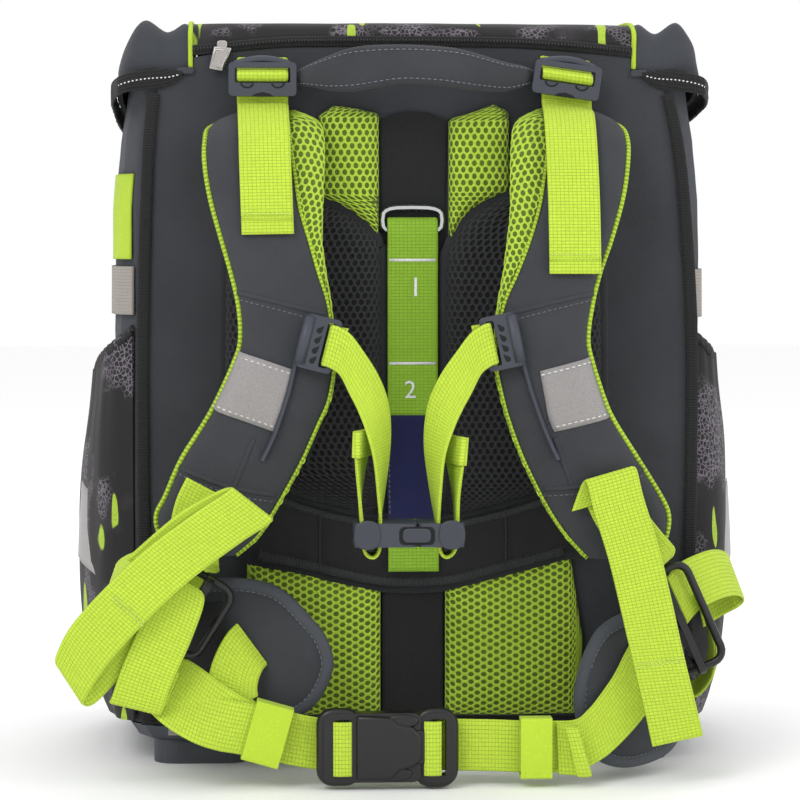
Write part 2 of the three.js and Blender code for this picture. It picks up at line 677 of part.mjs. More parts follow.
// Load lifters at the top of the straps: web route and ladder buckle
const LIFT = {
  left: {
    x: -49.4, tilt: 0, route: [
      [-49.4, -1.9, 94.6, 0, 0], [-49.4, -10, 93.8, 0, 0], [-49.4, -18, 92.9, 0, 0],
      [-49.4, -26, 92.75, 0, 0], [-49.4, -30.4, 92.15, 0, 0], [-49.4, -26, 91.6, 0, 0],
      [-49.4, -18, 91.3, 0, 0], [-49.4, -16.8, 90, 0, 0], [-49.4, -19, 88.7, 0, 0],
      [-49.3, -27, 88.2, 0, 0],
      [-49.2, -47, 86.8, 0, 0], [-49, -67, 84.5, 0, 0],
      [-48.8, -82.6, 81, 1, 0], [-48.4, -94.4, 76, 1, 0], [-48, -101, 71.3, 1, 0],
    ], z: 92.2,
  },
  right: {
    x: 50, tilt: -8, route: [
      [50, -1.9, 94.6, -6, 0], [50, -10, 93.8, -8, 0], [50, -18, 92.9, -8, 0], [50, -26, 92.75, -8, 0],
      [50, -30.4, 92.15, -8, 0], [50, -26, 91.6, -8, 0],
      [50, -18, 91.3, -8, 0], [50, -16.2, 90, -8, 0], [50, -19, 88.5, -7, 0], [49.9, -27, 88, -5, 0],
      [49.7, -49, 87, 0, 0], [49.5, -69, 84.8, 0, 0],
      [49.5, -85, 81, 0, 0], [49.6, -97.5, 76, 0, 0], [49.7, -105, 70.6, 0, 0], [49.7, -109, 66.2, 0, 0],
    ], z: 92.2,
  },
};
const BUCKLE_PLACE = -28.5;
const BUCKLE_WIDTH = 33;
const BUCKLE_BAR = 6.4;
const BUCKLE_SLOT = 7.4;
const BUCKLE_ARCH = 2.6;

function ladderFrame(width, bar, slot, arch) {
  const outer = roundedBox(-width / 2, -bar - slot / 2, width / 2, slot / 2 + arch, 2);
  const hole = roundedBox(-WEB / 2 - 1, -slot / 2, WEB / 2 + 1, slot / 2, 1);
  return extrude(cut(outer, hole), BUCKLE_THICK);
}

function makeLiftBuckle(name) {
  const { x, z, tilt } = LIFT[name];
  const frame = ladderFrame(BUCKLE_WIDTH, BUCKLE_BAR, BUCKLE_SLOT, BUCKLE_ARCH);
  frame.rotateY(-THREE.MathUtils.degToRad(tilt));
  const place = point(x, BUCKLE_PLACE, z);
  frame.translate(place.x, place.y, place.z);
  return frame;
}

// Chest strap: slider on its rail, web with a twist, and the buckle halves
const RAIL = {
  left: [
    [-35.5, -114.2, 60.3], [-38.2, -115.2, 57], [-41.4, -115.2, 51.2], [-46, -113.2, 45.6],
    [-50, -110.2, 42.2],
  ],
  right: [[29.4, -114, 60.6], [31.6, -115, 57], [35.4, -115.2, 51.2], [40.4, -113, 45.6], [44.4, -110, 42.2]],
};
const SLIDER = {
  left: { x: -32, y: -121.4, z: 57.3, tilt: 14 }, right: { x: 25.8, y: -121.4, z: 57.5, tilt: -12 },
};
const SLIDER_WIDTH = 17;
const SLIDER_HEIGHT = 26;
const SLIDER_THICK = 3;
const CHEST = {
  left: [
    [-24, -114.6, 56.6, 77, 0], [-27, -114.8, 56.8, 76, 0], [-29, -116.4, 57, 76, 0],
    [-29.5, -121.4, 57.05, 76, 0],
    [-28.9, -126.2, 57.05, 76, 0], [-27, -128.8, 56.8, 76, 0], [-23.8, -131.6, 55.9, 74, 0],
    [-20.2, -136, 53.6, 66, 6],
    [-16.6, -138, 51, 54, 22], [-14, -140, 48, 36, 40], [-12.6, -143, 43.6, 16, 62],
    [-12.8, -148, 38, 6, 80],
    [-13.2, -151, 34.4, 0, 90], [-13.6, -151, 31.4, 0, 90], [-15.6, -151, 30.4, 0, 90],
    [-18.2, -151, 31.2, 0, 90],
    [-18.9, -151, 34.4, 0, 90], [-19.4, -148, 38, 2, 86], [-18.8, -142, 43, 4, 70],
    [-17.2, -138, 46.4, 6, 55],
  ],
  right: [
    [17.8, -114.6, 56.9, 103, 0], [20.8, -114.8, 57.1, 102, 0], [22.8, -116.4, 57.2, 102, 0],
    [23.3, -121.4, 57.28, 102, 0],
    [22.7, -126.2, 57.28, 102, 0], [20.8, -128.8, 57, 103, 0], [17.4, -131.6, 56, 106, 0],
    [13.6, -136, 53.7, 114, 6],
    [9.4, -138, 51, 126, 22], [6.2, -140, 48, 144, 40], [4.2, -143, 43.6, 164, 62],
    [4.4, -148, 38, 174, 80],
    [4.9, -151, 34.4, 180, 90], [5.3, -151, 31.4, 180, 90], [7.4, -151, 30.4, 180, 90],
    [10.1, -151, 31.4, 180, 90],
    [10.8, -151, 34.4, 180, 90], [10.8, -148, 38, 178, 86], [10.6, -142, 42, 176, 70],
    [10.2, -138, 45.6, 174, 55],
  ],
};
const CHEST_BUCKLE = { x0: -21.5, x1: -1.6, x2: 12.9, z0: 31.8, z1: 34.8, y: -151, deep: 26 };
const CHEST_SLOTS = { left: [-18.9, -13.4], right: [5.1, 10.6] };
const CHEST_SLOT = 3.2;
const CHEST_SLOT_HALF = CHEST_WEB / 2 + 0.8;
const SLIDER_BAR = 4.6;

function makeSlider(name) {
  const { x, y, z, tilt } = SLIDER[name];
  const side = name === 'left' ? 1 : -1;
  const shape = roundedBox(-SLIDER_WIDTH / 2, -SLIDER_HEIGHT / 2, SLIDER_WIDTH / 2, SLIDER_HEIGHT / 2, 2);
  const bar = side * (SLIDER_WIDTH / 2 - SLIDER_BAR);
  cut(shape, roundedBox(bar - 2, -CHEST_SLOT_HALF, bar + 2, CHEST_SLOT_HALF, 1));
  const plate = extrude(shape, SLIDER_THICK);
  plate.rotateY(THREE.MathUtils.degToRad(tilt));
  const place = point(x, y, z);
  plate.translate(place.x, place.y - SLIDER_THICK / 2, place.z);
  return plate;
}

function makeChestHalf(name) {
  const { x0, x1, x2, z0, z1, y, deep } = CHEST_BUCKLE;
  const from = point(name === 'left' ? x0 : x1, y, z0);
  const to = point(name === 'left' ? x1 : x2, y, z1);
  const gap = name === 'left' ? GAP : 0;
  const shape = roundedBox(from.x, -deep / 2, to.x - gap, deep / 2, 3);
  for (const share of CHEST_SLOTS[name]) {
    const slot = point(share, y, z0).x;
    const low = slot - CHEST_SLOT / 2;
    cut(shape, roundedBox(low, -CHEST_SLOT_HALF, low + CHEST_SLOT, CHEST_SLOT_HALF, 1));
  }
  const depth = to.z - from.z;
  const block = new THREE.ExtrudeGeometry(shape, { depth, bevelEnabled: false, curveSegments: 3 });
  block.deleteAttribute('normal');
  block.deleteAttribute('uv');
  block.translate(0, from.y, from.z);
  return mergeVertices(block, 1e-4);
}

// Hip belt: web routes, keepers and the side-release buckle
const HIP = {
  left: [
    [-53.4, -94.4, 18.2, -54, 0], [-55.6, -104, 17.4, -48, 0], [-58, -111, 15.6, -38, 0],
    [-59.4, -115, 13.4, -20, 0], [-59.8, -118, 10.6, 20, 0],
    [-58, -119.6, 8.9, 55, 0], [-54.8, -120.6, 8.0, 70, 0], [-50, -121, 7.4, 74, 0],
    [-44, -121.6, 6.7, 76, 0],
    [-38, -121, 6.1, 82, 0], [-31, -119.4, 5.6, 88, 0], [-26.6, -120.6, 5.5, 90, 0],
    [-24.8, -125, 5.5, 90, 0],
    [-24.7, -131, 5.5, 90, 0],
  ],
  right: [
    [5.4, -131, 5.5, 90, 0], [5.4, -125, 5.5, 90, 0], [7.2, -120.6, 5.5, 90, 0], [11.6, -119.4, 5.4, 90, 0],
    [24, -121, 5.3, 90, 0], [34, -123, 5.15, 90, 0], [42, -124.6, 5.15, 90, 0],
    [50, -124.4, 5.3, 92, 0], [56, -121, 6.6, 106, 0],
    [61, -116, 8.4, 116, 0], [67.4, -110, 11.4, 128, 0], [71.8, -104, 14.2, 134, 6],
    [76.2, -96.4, 17, 138, 14],
  ],
};
const HIP_TAIL = {
  left: [
    [-50, -133, 7.4, 74, 0], [-56, -133.6, 8, 73, 2], [-62, -135, 8.5, 74, 10], [-69.5, -134, 9.4, 72, 24],
    [-77, -128, 10.9, 64, 34], [-82, -119, 12.6, 58, 34], [-84.4, -113.6, 14, 56, 34],
    [-83, -109, 14.8, 56, 34],
    [-79, -115.6, 14.2, 58, 28], [-73.6, -123, 12.8, 60, 18], [-67.2, -127.6, 10.9, 64, 8],
    [-61, -128.6, 9.3, 68, 2],
    [-55.6, -127.4, 8.1, 73, 0], [-50, -127.4, 7.4, 74, 0],
  ],
  right: [
    [43.8, -128.6, 5, 92, 0], [47.8, -133, 4.9, 98, 0], [50.8, -136, 4.8, 104, 0],
    [51.8, -140, 4.8, 106, 0],
    [50.2, -143, 4.8, 106, 0], [47.8, -142.6, 4.8, 104, 0],
  ],
};
const KEEPER = {
  left: { x: -48.6, z: 7.25, y0: -118.4, y1: -136.6, wide: 18, turn: -16 },
  right: { x: 36.8, z: 5.15, y0: -120.7, y1: -134.7, wide: 15, turn: 0 },
};
const KEEPER_WALL = 1.4;
const KEEPER_PLAY = 1.4;

function makeKeeper(name) {
  const { x, z, y0, y1, wide, turn } = KEEPER[name];
  const middle = point(x, y0, z);
  const deep = (y0 - y1) / 100 * STANDOFF;
  const tall = WEB + KEEPER_PLAY;
  const halfDeep = deep / 2 + KEEPER_WALL;
  const halfTall = tall / 2 + KEEPER_WALL;
  const shape = roundedBox(-halfDeep, -halfTall, halfDeep, halfTall, 1.2);
  cut(shape, roundedBox(-deep / 2, -tall / 2, deep / 2, tall / 2, 0.6));
  const loop = new THREE.ExtrudeGeometry(shape, { depth: wide, bevelEnabled: false, curveSegments: 2 });
  loop.deleteAttribute('normal');
  loop.deleteAttribute('uv');
  loop.translate(0, 0, -wide / 2);
  loop.applyMatrix4(new THREE.Matrix4().makeBasis(
    new THREE.Vector3(0, 1, 0), new THREE.Vector3(0, 0, 1), new THREE.Vector3(1, 0, 0)));
  loop.rotateY(-THREE.MathUtils.degToRad(turn));
  loop.translate(middle.x, middle.y - deep / 2, middle.z);
  return mergeVertices(loop, 1e-4);
}

const HIP_BUCKLE = { x0: -31, x1: -21, x2: 0.3, x3: 6.4, z: 5.5, y: -131, tall: 33, thick: 9 };
const LEFT_SLOT = [-9.6, -1.6];
const RIGHT_SLOT = [-5.4, 2.4];
const RIGHT_END = 6;

function makeHipHalf(name) {
  const { x0, x1, x2, x3, z, y, tall, thick } = HIP_BUCKLE;
  const low = point(x0, y, z);
  const joint = point(x2, y, z).x;
  const slotTall = WEB / 2 + 1;
  let shape;
  if (name === 'left') {
    shape = roundedBox(low.x, -tall / 2, joint - GAP, tall / 2, 4);
    const slot = point(x1, y, z).x;
    cut(shape, roundedBox(slot + LEFT_SLOT[0], -slotTall, slot + LEFT_SLOT[1], slotTall, 1));
  } else {
    const end = point(x3, y, z).x;
    shape = roundedBox(joint, -tall / 2, end + RIGHT_END, tall / 2, 4);
    cut(shape, roundedBox(end + RIGHT_SLOT[0], -slotTall, end + RIGHT_SLOT[1], slotTall, 1));
  }
  const plate = new THREE.ExtrudeGeometry(shape, { depth: thick, bevelEnabled: false, curveSegments: 3 });
  plate.deleteAttribute('normal');
  plate.deleteAttribute('uv');
  plate.rotateX(Math.PI / 2);
  plate.translate(0, low.y + thick / 2, low.z);
  return mergeVertices(plate, 1e-4);
}

// Lower straps: web from the strap end to the ladder lock, its long tail, and the web to the bag's side
const LOWER = {
  left: [
    [-66.6, -106.6, 38.5, -28, 0], [-70, -107.6, 35.6, -29, 0], [-71.6, -108.4, 32.4, -26, 4],
    [-70.4, -112, 29.8, -24, 30],
    [-67.4, -108, 28.4, -30, 60], [-66, -105.6, 27.8, -32, 76],
  ],
  right: [
    [60.6, -106.6, 38, 14, 0], [64.6, -106.8, 34.6, 15, 0], [69.6, -107.6, 31.8, 18, 4],
    [74.4, -107.6, 29.6, 22, 14],
    [77.4, -104, 28.3, 30, 42], [78.6, -88, 28.2, 24, 78],
  ],
};
const TAIL = {
  left: [
    [-86, -148, 28.2, -36, 0], [-70, -152, 33.8, -37, 0], [-58, -153, 36.6, -38, 0],
    [-53.4, -156, 37.2, -38, 0],
    [-55.6, -160, 36.4, -38, 0], [-64, -162, 34.2, -38, 0], [-80, -164, 29.4, -39, 0],
    [-94, -162, 24, -40, 0],
    [-104, -158, 19.4, -46, 0], [-109.6, -152, 15.6, -56, 0], [-110.4, -146, 14.2, -58, 6],
    [-107, -142, 14.4, -54, 10],
    [-99, -142, 18, -40, 6], [-90, -140, 22.4, -32, 4], [-82, -138, 25.8, -32, 2],
    [-76.6, -139, 27.4, -32, 0],
    [-75.6, -143, 26, -30, 0], [-79.6, -146, 21.4, -28, 0], [-86, -147, 15.6, -22, 0],
    [-89.4, -144, 11.6, -16, 0],
    [-90.2, -138, 11, -14, 0], [-88, -134.6, 12.6, -18, 0], [-84, -135, 16.6, -24, 0],
  ],
  right: [
    [56.6, -111.2, 36.4, 16, 0], [58.4, -113.4, 38.6, 16, 0], [59.8, -119, 40.2, 16, 0],
    [61, -125, 40, 16, 0],
    [63, -128, 36.6, 16, 0], [67.6, -133, 30.4, 14, 0], [71.4, -136, 24, 10, 0], [75, -137, 17.6, 4, 0],
    [79.6, -137, 10, 6, 0],
    [81.8, -137, 6, 12, 0],
  ],
};
const ANCHOR = {
  left: [
    [-71.6, -106, 24.7, 58, 0], [-78.6, -97, 26.4, 58, 0], [-87, -74, 27.2, 60, 0],
    [-94.6, -44, 26.6, 64, 0],
    [-99.6, -12, 24.8, 70, 0], [-99, 2.8, 22.8, 76, 0], [-96, 3.6, 21.4, 80, 0],
  ],
  right: [
    [83.7, -88, 23.4, 114, 0], [89, -74, 25.2, 116, 0], [98.6, -48, 26.3, 114, 0],
    [104.6, -24, 26, 112, 0],
    [107, -4, 24.8, 110, 0], [101.6, 2.6, 23, 106, 0], [95.8, 3.4, 21.4, 102, 0],
  ],
};
const LOCK = {
  left: { x: -73.1, y: -106, z: 22.6, turn: 58, long: 40 },
  right: { x: 84.4, y: -88, z: 20.8, turn: -66, long: 54 },
};
const LOCK_WIDTH = 30;
const LOCK_THICK = 3.4;
const LOCK_RIM = 4;
const LOCK_CORNER = 6;
const LOCK_RAIL = 2.6;
const LOCK_BAR = [-2, 3];

function makeLock(name) {
  const { x, y, z, turn, long } = LOCK[name];
  const shape = roundedBox(-long / 2, -LOCK_WIDTH / 2, long / 2, LOCK_WIDTH / 2, LOCK_CORNER);
  const reach = LOCK_WIDTH / 2 - LOCK_RAIL;
  cut(shape, roundedBox(LOCK_RIM - long / 2, -reach, LOCK_BAR[0], reach, 1.5));
  cut(shape, roundedBox(LOCK_BAR[1], -reach, long / 2 - LOCK_RIM, reach, 4));
  const depth = LOCK_THICK;
  const plate = new THREE.ExtrudeGeometry(shape, { depth, bevelEnabled: false, curveSegments: 2 });
  plate.deleteAttribute('normal');
  plate.deleteAttribute('uv');
  plate.translate(0, 0, -LOCK_THICK / 2);
  plate.rotateY(-THREE.MathUtils.degToRad(turn));
  const place = point(x, y, z);
  plate.translate(place.x, place.y, place.z);
  return mergeVertices(plate, 1e-4);
}

// Bag
add('bag_shell', makeShell(), fabric.grey);
add('back_panel', pad(PANEL_OUTLINE, PANEL_THICK, PANEL_THICK - 0.2, PANEL_THICK, 0.4), fabric.grey);
add('base_tray', makeTray(), 0x44474f, 0.6);
add('lid', makeLid(), fabric.print);
for (const [name, side] of SIDES) {
  const seam = BINDING[name].map(([x, y, z]) => [x, y, z, 0, 0]);
  add(`back_binding_${name}`, ribbon(seam, BINDING_WIDTH, BINDING_THICK, 1), fabric.black, 0.9);
  add(`lid_wing_${name}`, makeWing(side), fabric.grey);
  add(`wing_hem_${name}`, makeWingHem(side), fabric.black, 0.9);
  add(`side_pocket_${name}`, makePocket(side), fabric.print);
  const middle = SIDE_WEB_HEIGHT[name];
  const half = SIDE_WEB_WIDTH / 2 / HEIGHT * 100;
  add(`side_web_${name}`, sideSheet(side, SIDE_DEPTHS, middle - half, middle + half, WEB_THICK), 0xb2aaa2);
}

// Back padding
const PAD_INSET = 6;
const PAD_RIM = 0.35;
const padLooks = {
  back: [BACK_PAD_THICK, 0x26272a], yoke: [YOKE_THICK, fabric.mesh], lumbar: [LUMBAR_THICK, fabric.mesh],
};
for (const [name, outline] of Object.entries(PADS)) {
  const [thick, colour] = padLooks[name.split('_')[0]];
  add(`${name.replace('_', '_pad_')}`, pad(outline, -GAP, thick * PAD_RIM, thick, PAD_INSET), colour, 0.95);
}
add('lumbar_panel', pad(LUMBAR_PANEL, -GAP, LUMBAR_PANEL_THICK * 0.7, LUMBAR_PANEL_THICK, 2), fabric.black);
add('lumbar_band', pad(BAND_OUTLINE, -GAP, BAND_RIM, BAND_THICK, BAND_INSET), fabric.black);
add('centre_channel', pad(CHANNEL_OUTLINE, -GAP, CHANNEL_THICK * 0.9, CHANNEL_THICK, 0.6), fabric.black);
const adjusterRoute = ADJUSTER.map(([y, z]) => [RING.x, y, z, 0, 0]);
add('adjuster_web', ribbon(adjusterRoute, CENTRE_WEB, WEB_THICK, 1), 0x86b42a);
add('adjuster_ring', makeRing(), 0xc9cbcc, 0.3, 1);
add('carry_handle', makeHandle(), fabric.grey);

// Straps, belt and buckles
for (const [name] of SIDES) {
  add(`strap_cover_${name}`, strapSide(name, coverProfile), fabric.grey);
  add(`strap_lining_${name}`, strapSide(name, liningProfile), fabric.mesh, 0.95);
  add(`lift_web_${name}`, ribbon(LIFT[name].route, WEB, WEB_THICK, 1), fabric.lime);
  add(`lift_buckle_${name}`, makeLiftBuckle(name), 0x3e424c, 0.45);
  const rail = smooth(RAIL[name], 2).map(([x, y, z]) => point(x, y, z));
  add(`chest_rail_${name}`, wire(rail, RAIL_WIRE / 2, 6), 0x4a4c52, 0.7);
  add(`chest_slider_${name}`, makeSlider(name), 0x3e424c, 0.45);
  add(`chest_web_${name}`, ribbon(CHEST[name], CHEST_WEB, WEB_THICK, 2), fabric.lime);
  add(`chest_buckle_${name}`, makeChestHalf(name), 0x3e424c, 0.45);
  add(`hip_fin_${name}`, makeFin(name), fabric.grey);
  add(`hip_web_${name}`, ribbon(HIP[name], WEB, WEB_THICK, 2), fabric.lime);
  add(`hip_tail_${name}`, ribbon(HIP_TAIL[name], WEB, WEB_THICK, 1), fabric.lime);
  add(`hip_keeper_${name}`, makeKeeper(name), 0xa9d22f);
  add(`hip_buckle_${name}`, makeHipHalf(name), 0x17181a, 0.4);
  add(`lower_web_${name}`, ribbon(LOWER[name], WEB, WEB_THICK, 2), fabric.lime);
  add(`lower_tail_${name}`, ribbon(TAIL[name], WEB, WEB_THICK, 2), fabric.lime);
  add(`anchor_web_${name}`, ribbon(ANCHOR[name], WEB, WEB_THICK, 2), fabric.lime);
  add(`ladder_lock_${name}`, makeLock(name), 0x17181a, 0.4);
}

// Stands the whole object over the origin
ransel.updateMatrixWorld(true);
const box = new THREE.Box3().setFromObject(ransel, true);
const middle = box.getCenter(new THREE.Vector3());
for (const mesh of ransel.children) {
  mesh.position.set(-middle.x, -middle.y, -box.min.z);
}

export default ransel;
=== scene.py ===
# School ransel for the render: cloth, webbing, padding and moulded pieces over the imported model.
# Metres, +Z up, harness side toward -Y. Tables use the shares of the named sizes that the model uses.
import math

import bmesh
import bpy
from mathutils import Matrix, Vector, noise


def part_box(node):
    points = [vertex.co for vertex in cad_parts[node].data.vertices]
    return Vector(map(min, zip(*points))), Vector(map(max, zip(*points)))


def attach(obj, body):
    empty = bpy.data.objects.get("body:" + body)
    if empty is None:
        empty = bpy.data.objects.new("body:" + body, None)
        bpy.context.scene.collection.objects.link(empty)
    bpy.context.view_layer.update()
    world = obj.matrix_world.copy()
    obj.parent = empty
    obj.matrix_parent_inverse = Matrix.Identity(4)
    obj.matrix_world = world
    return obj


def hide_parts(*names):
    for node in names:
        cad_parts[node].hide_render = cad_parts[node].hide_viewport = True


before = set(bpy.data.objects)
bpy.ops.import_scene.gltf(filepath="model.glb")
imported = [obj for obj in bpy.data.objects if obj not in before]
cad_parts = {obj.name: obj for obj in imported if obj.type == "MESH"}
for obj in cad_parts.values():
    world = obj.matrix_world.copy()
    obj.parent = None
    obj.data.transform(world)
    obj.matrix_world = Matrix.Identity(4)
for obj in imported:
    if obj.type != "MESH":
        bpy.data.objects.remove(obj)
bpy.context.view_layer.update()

MM = 0.001
HALF_WIDTH = 150
HEIGHT = 370
DEPTH = 200
STANDOFF = 50
GAP = 0.35
WEB = 25
WEB_THICK = 1.6
CHEST_WEB = 20
STRAP_THICK = 11
FIN_THICK = 7
HANDLE_THICK = 9
SHELL_LOW = 5.5
CENTRE_WEB = HALF_WIDTH / 6
NET_PITCH = 3.7

shell_low, shell_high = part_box("bag_shell")
panel_low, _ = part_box("back_panel")
SHIFT = Vector(((shell_low[0] + shell_high[0]) / 2, panel_low[1], 0))


def point(x, y, z):
    """A point given in shares of the bag's half width, depth and height."""
    deep = STANDOFF if y < 0 else DEPTH
    return Vector((x * HALF_WIDTH / 100, y * deep / 100, z * HEIGHT / 100)) * MM + SHIFT


def place(x, y, z):
    """A point given in millimetres in the bag's own frame."""
    return Vector((x, y, z)) * MM + SHIFT


def smooth(rows, steps):
    """Rows of a table with smooth in-between rows, so many steps from one to the next."""
    out = []
    last = len(rows) - 1
    for i in range(last):
        before = rows[max(i - 1, 0)]
        after = rows[min(i + 2, last)]
        for k in range(steps):
            t = k / steps
            row = []
            for j, b in enumerate(rows[i]):
                c = rows[i + 1][j]
                s0 = (c - before[j]) / 2
                s1 = (after[j] - b) / 2
                row.append((2 * t**3 - 3 * t**2 + 1) * b + (t**3 - 2 * t**2 + t) * s0
                           + (-2 * t**3 + 3 * t**2) * c + (t**3 - t**2) * s1)
            out.append(row)
    out.append(list(rows[last]))
    return out


def wrinkle(p, amount, size, stretch=(1, 1, 1), seed=0.0):
    """Cloth relief in metres at a point, from two octaves of noise."""
    q = Vector((p.x * stretch[0], p.y * stretch[1], p.z * stretch[2])) / (size * MM)
    q.x += seed
    return (noise.noise(q) + 0.5 * noise.noise(q * 2.1)) * amount * MM


def link(name, data):
    """An object for a mesh, curve, lamp or camera, in the scene."""
    ob = bpy.data.objects.new(name, data)
    bpy.context.collection.objects.link(ob)
    return ob


def make(name, verts, faces, uvs=None, material=None):
    """A piece that rides on the root, from points, faces and a map in millimetres."""
    mesh = bpy.data.meshes.new(name)
    mesh.from_pydata([tuple(v) for v in verts], [], faces)
    if uvs:
        layer = mesh.uv_layers.new(name="UVMap")
        for loop in mesh.loops:
            layer.data[loop.index].uv = uvs[loop.vertex_index]
    bm = bmesh.new()
    bm.from_mesh(mesh)
    bmesh.ops.recalc_face_normals(bm, faces=bm.faces)
    bm.to_mesh(mesh)
    bm.free()
    for polygon in mesh.polygons:
        polygon.use_smooth = True
    ob = link(name, mesh)
    if material:
        mesh.materials.append(material)
    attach(ob, "root")
    return ob


def sharp(ob, angle=35):
    """Shades smooth, with edges steeper than the angle kept crisp."""
    bm = bmesh.new()
    bm.from_mesh(ob.data)
    for edge in bm.edges:
        edge.smooth = len(edge.link_faces) == 2 and edge.calc_face_angle(0) < math.radians(angle)
    for face in bm.faces:
        face.smooth = True
    bm.to_mesh(ob.data)
    bm.free()
    return ob


def soften(ob, width, segments=2, angle=35):
    """Rounds the edges steeper than the angle."""
    mod = ob.modifiers.new("edges", "BEVEL")
    mod.width = width * MM
    mod.segments = segments
    mod.limit_method = "ANGLE"
    mod.angle_limit = math.radians(angle)


def lengths(points):
    """Millimetres along a line, at each of its points."""
    out = [0.0]
    for a, b in zip(points, points[1:]):
        out.append(out[-1] + (b - a).length / MM)
    return out


def loft(name, rings, us, material, closed=True, caps=True):
    """Skin over rings of equal count; us gives each corner's place across in millimetres."""
    count = len(rings[0])
    along = lengths([sum(ring, Vector()) / count for ring in rings])
    verts = [p for ring in rings for p in ring]
    uvs = [(us[r][k], along[r]) for r in range(len(rings)) for k in range(count)]
    faces = []
    for r in range(len(rings) - 1):
        for k in range(count if closed else count - 1):
            a = r * count + k
            b = r * count + (k + 1) % count
            faces.append((a, b, b + count, a + count))
    if closed and caps:
        faces.append(tuple(range(count)))
        faces.append(tuple((len(rings) - 1) * count + k for k in range(count)))
    return make(name, verts, faces, uvs, material)


def band_rings(rows, profile):
    """Cross sections of a band: profile gives (share of the width, height in mm) for each row."""
    mids = [(row["a"] + row["b"]) / 2 for row in rows]
    rings = []
    us = []
    for i, row in enumerate(rows):
        across = row["b"] - row["a"]
        step = mids[min(i + 1, len(rows) - 1)] - mids[max(i - 1, 0)]
        out = step.cross(across).normalized()
        corners = profile(row)
        rings.append([row["a"] + across * share + out * (height * MM) for share, height in corners])
        us.append([share * across.length / MM for share, _ in corners])
    return rings, us


def ribbon_rows(route, width, steps):
    """The two edges of a webbing along its route of x, y, z, turn and lean."""
    rows = []
    for x, y, z, turn, lean in smooth(route, steps):
        t = math.radians(turn)
        tilt = math.radians(lean)
        half = Vector((math.cos(t) * math.cos(tilt), math.sin(tilt), math.sin(t) * math.cos(tilt)))
        half *= width / 2 * MM
        middle = point(x, y, z)
        rows.append({"a": middle - half, "b": middle + half})
    return rows


def web_profile(thick, ribs):
    """Section of a webbing: rolled edges, and ribs that run along it on both faces."""
    half = thick / 2
    front = []
    for k in range(ribs * 2 + 1):
        share = 0.02 + 0.96 * k / (ribs * 2)
        edge = min(share, 1 - share) / 0.05
        height = half * (0.55 + 0.45 * min(edge, 1)) - (0.14 if k % 2 == 0 else 0)
        front.append((share, height))
    back = [(share, -height) for share, height in reversed(front)]
    return [(0, 0)] + front + [(1, 0)] + back


def ribbon(name, route, width, material, steps=6, thick=WEB_THICK, ribs=11):
    """A webbing laid along its route."""
    rows = ribbon_rows(route, width, steps)
    shape = web_profile(thick, ribs)
    rings, us = band_rings(rows, lambda row: shape)
    return loft(name, rings, us, material)


def sheet(name, grid, thick, inward, material, relief=None):
    """Cloth wall from a grid of outer points, thickened inward."""
    rows = len(grid)
    columns = len(grid[0])
    normals = []
    for r in range(rows):
        line = []
        for c in range(columns):
            du = grid[r][min(c + 1, columns - 1)] - grid[r][max(c - 1, 0)]
            dv = grid[min(r + 1, rows - 1)][c] - grid[max(r - 1, 0)][c]
            line.append(du.cross(dv).normalized() * inward)
        normals.append(line)
    outer = []
    inner = []
    uvs = []
    rise = lengths([line[columns // 2] for line in grid])
    for r in range(rows):
        across = lengths(grid[r])
        for c in range(columns):
            push = relief(grid[r][c], r / (rows - 1), c / (columns - 1)) if relief else 0
            p = grid[r][c] - normals[r][c] * push
            outer.append(p)
            inner.append(p + normals[r][c] * thick * MM)
            uvs.append((across[c], rise[r]))
    far = rows * columns
    faces = []
    for r in range(rows - 1):
        for c in range(columns - 1):
            a = r * columns + c
            faces.append((a, a + 1, a + columns + 1, a + columns))
            faces.append((far + a, far + a + columns, far + a + columns + 1, far + a + 1))
    border = [(0, c) for c in range(columns - 1)] + [(r, columns - 1) for r in range(rows - 1)]
    border += [(rows - 1, c) for c in range(columns - 1, 0, -1)] + [(r, 0) for r in range(rows - 1, 0, -1)]
    ids = [r * columns + c for r, c in border]
    for i, a in enumerate(ids):
        b = ids[(i + 1) % len(ids)]
        faces.append((a, b, far + b, far + a))
    return make(name, outer + inner, faces, uvs + uvs, material)


def flat_sheet(name, grid, thick, material):
    """A thin sheet that looks toward the harness side."""
    facing = (grid[0][1] - grid[0][0]).cross(grid[1][0] - grid[0][0])
    return sheet(name, grid, thick, 1 if facing.y > 0 else -1, material)


def refine(grid, down, across):
    """Smooth in-between points of a grid, both ways."""
    tall = smooth([[v for p in line for v in p] for line in grid], down)
    out = []
    for row in tall:
        line = [row[i:i + 3] for i in range(0, len(row), 3)]
        out.append([Vector(p) for p in smooth(line, across)])
    return out


def tube(name, points, radius, material, sides=8, closed=False, squeeze=1.0, face=Vector((0, 1, 0))):
    """Round or flattened cord along points; squeeze is its height over its width."""
    count = len(points)
    verts = []
    uvs = []
    along = lengths(points)
    for i, p in enumerate(points):
        after = points[(i + 1) % count if closed else min(i + 1, count - 1)]
        before = points[(i - 1) % count if closed else max(i - 1, 0)]
        step = (after - before).normalized()
        side = face.cross(step)
        side = side.normalized() if side.length > 1e-6 else Vector((1, 0, 0))
        up = step.cross(side)
        for k in range(sides):
            a = k / sides * math.tau
            verts.append(p + side * math.cos(a) * radius * MM + up * math.sin(a) * radius * squeeze * MM)
            uvs.append((k / sides * radius * 6, along[i]))
    faces = []
    for r in range(count if closed else count - 1):
        for k in range(sides):
            a = r * sides + k
            b = r * sides + (k + 1) % sides
            far = (r + 1) % count * sides - r * sides
            faces.append((a, b, b + far, a + far))
    if not closed:
        faces.append(tuple(range(sides)))
        faces.append(tuple((count - 1) * sides + k for k in range(sides)))
    return make(name, verts, faces, uvs, material)


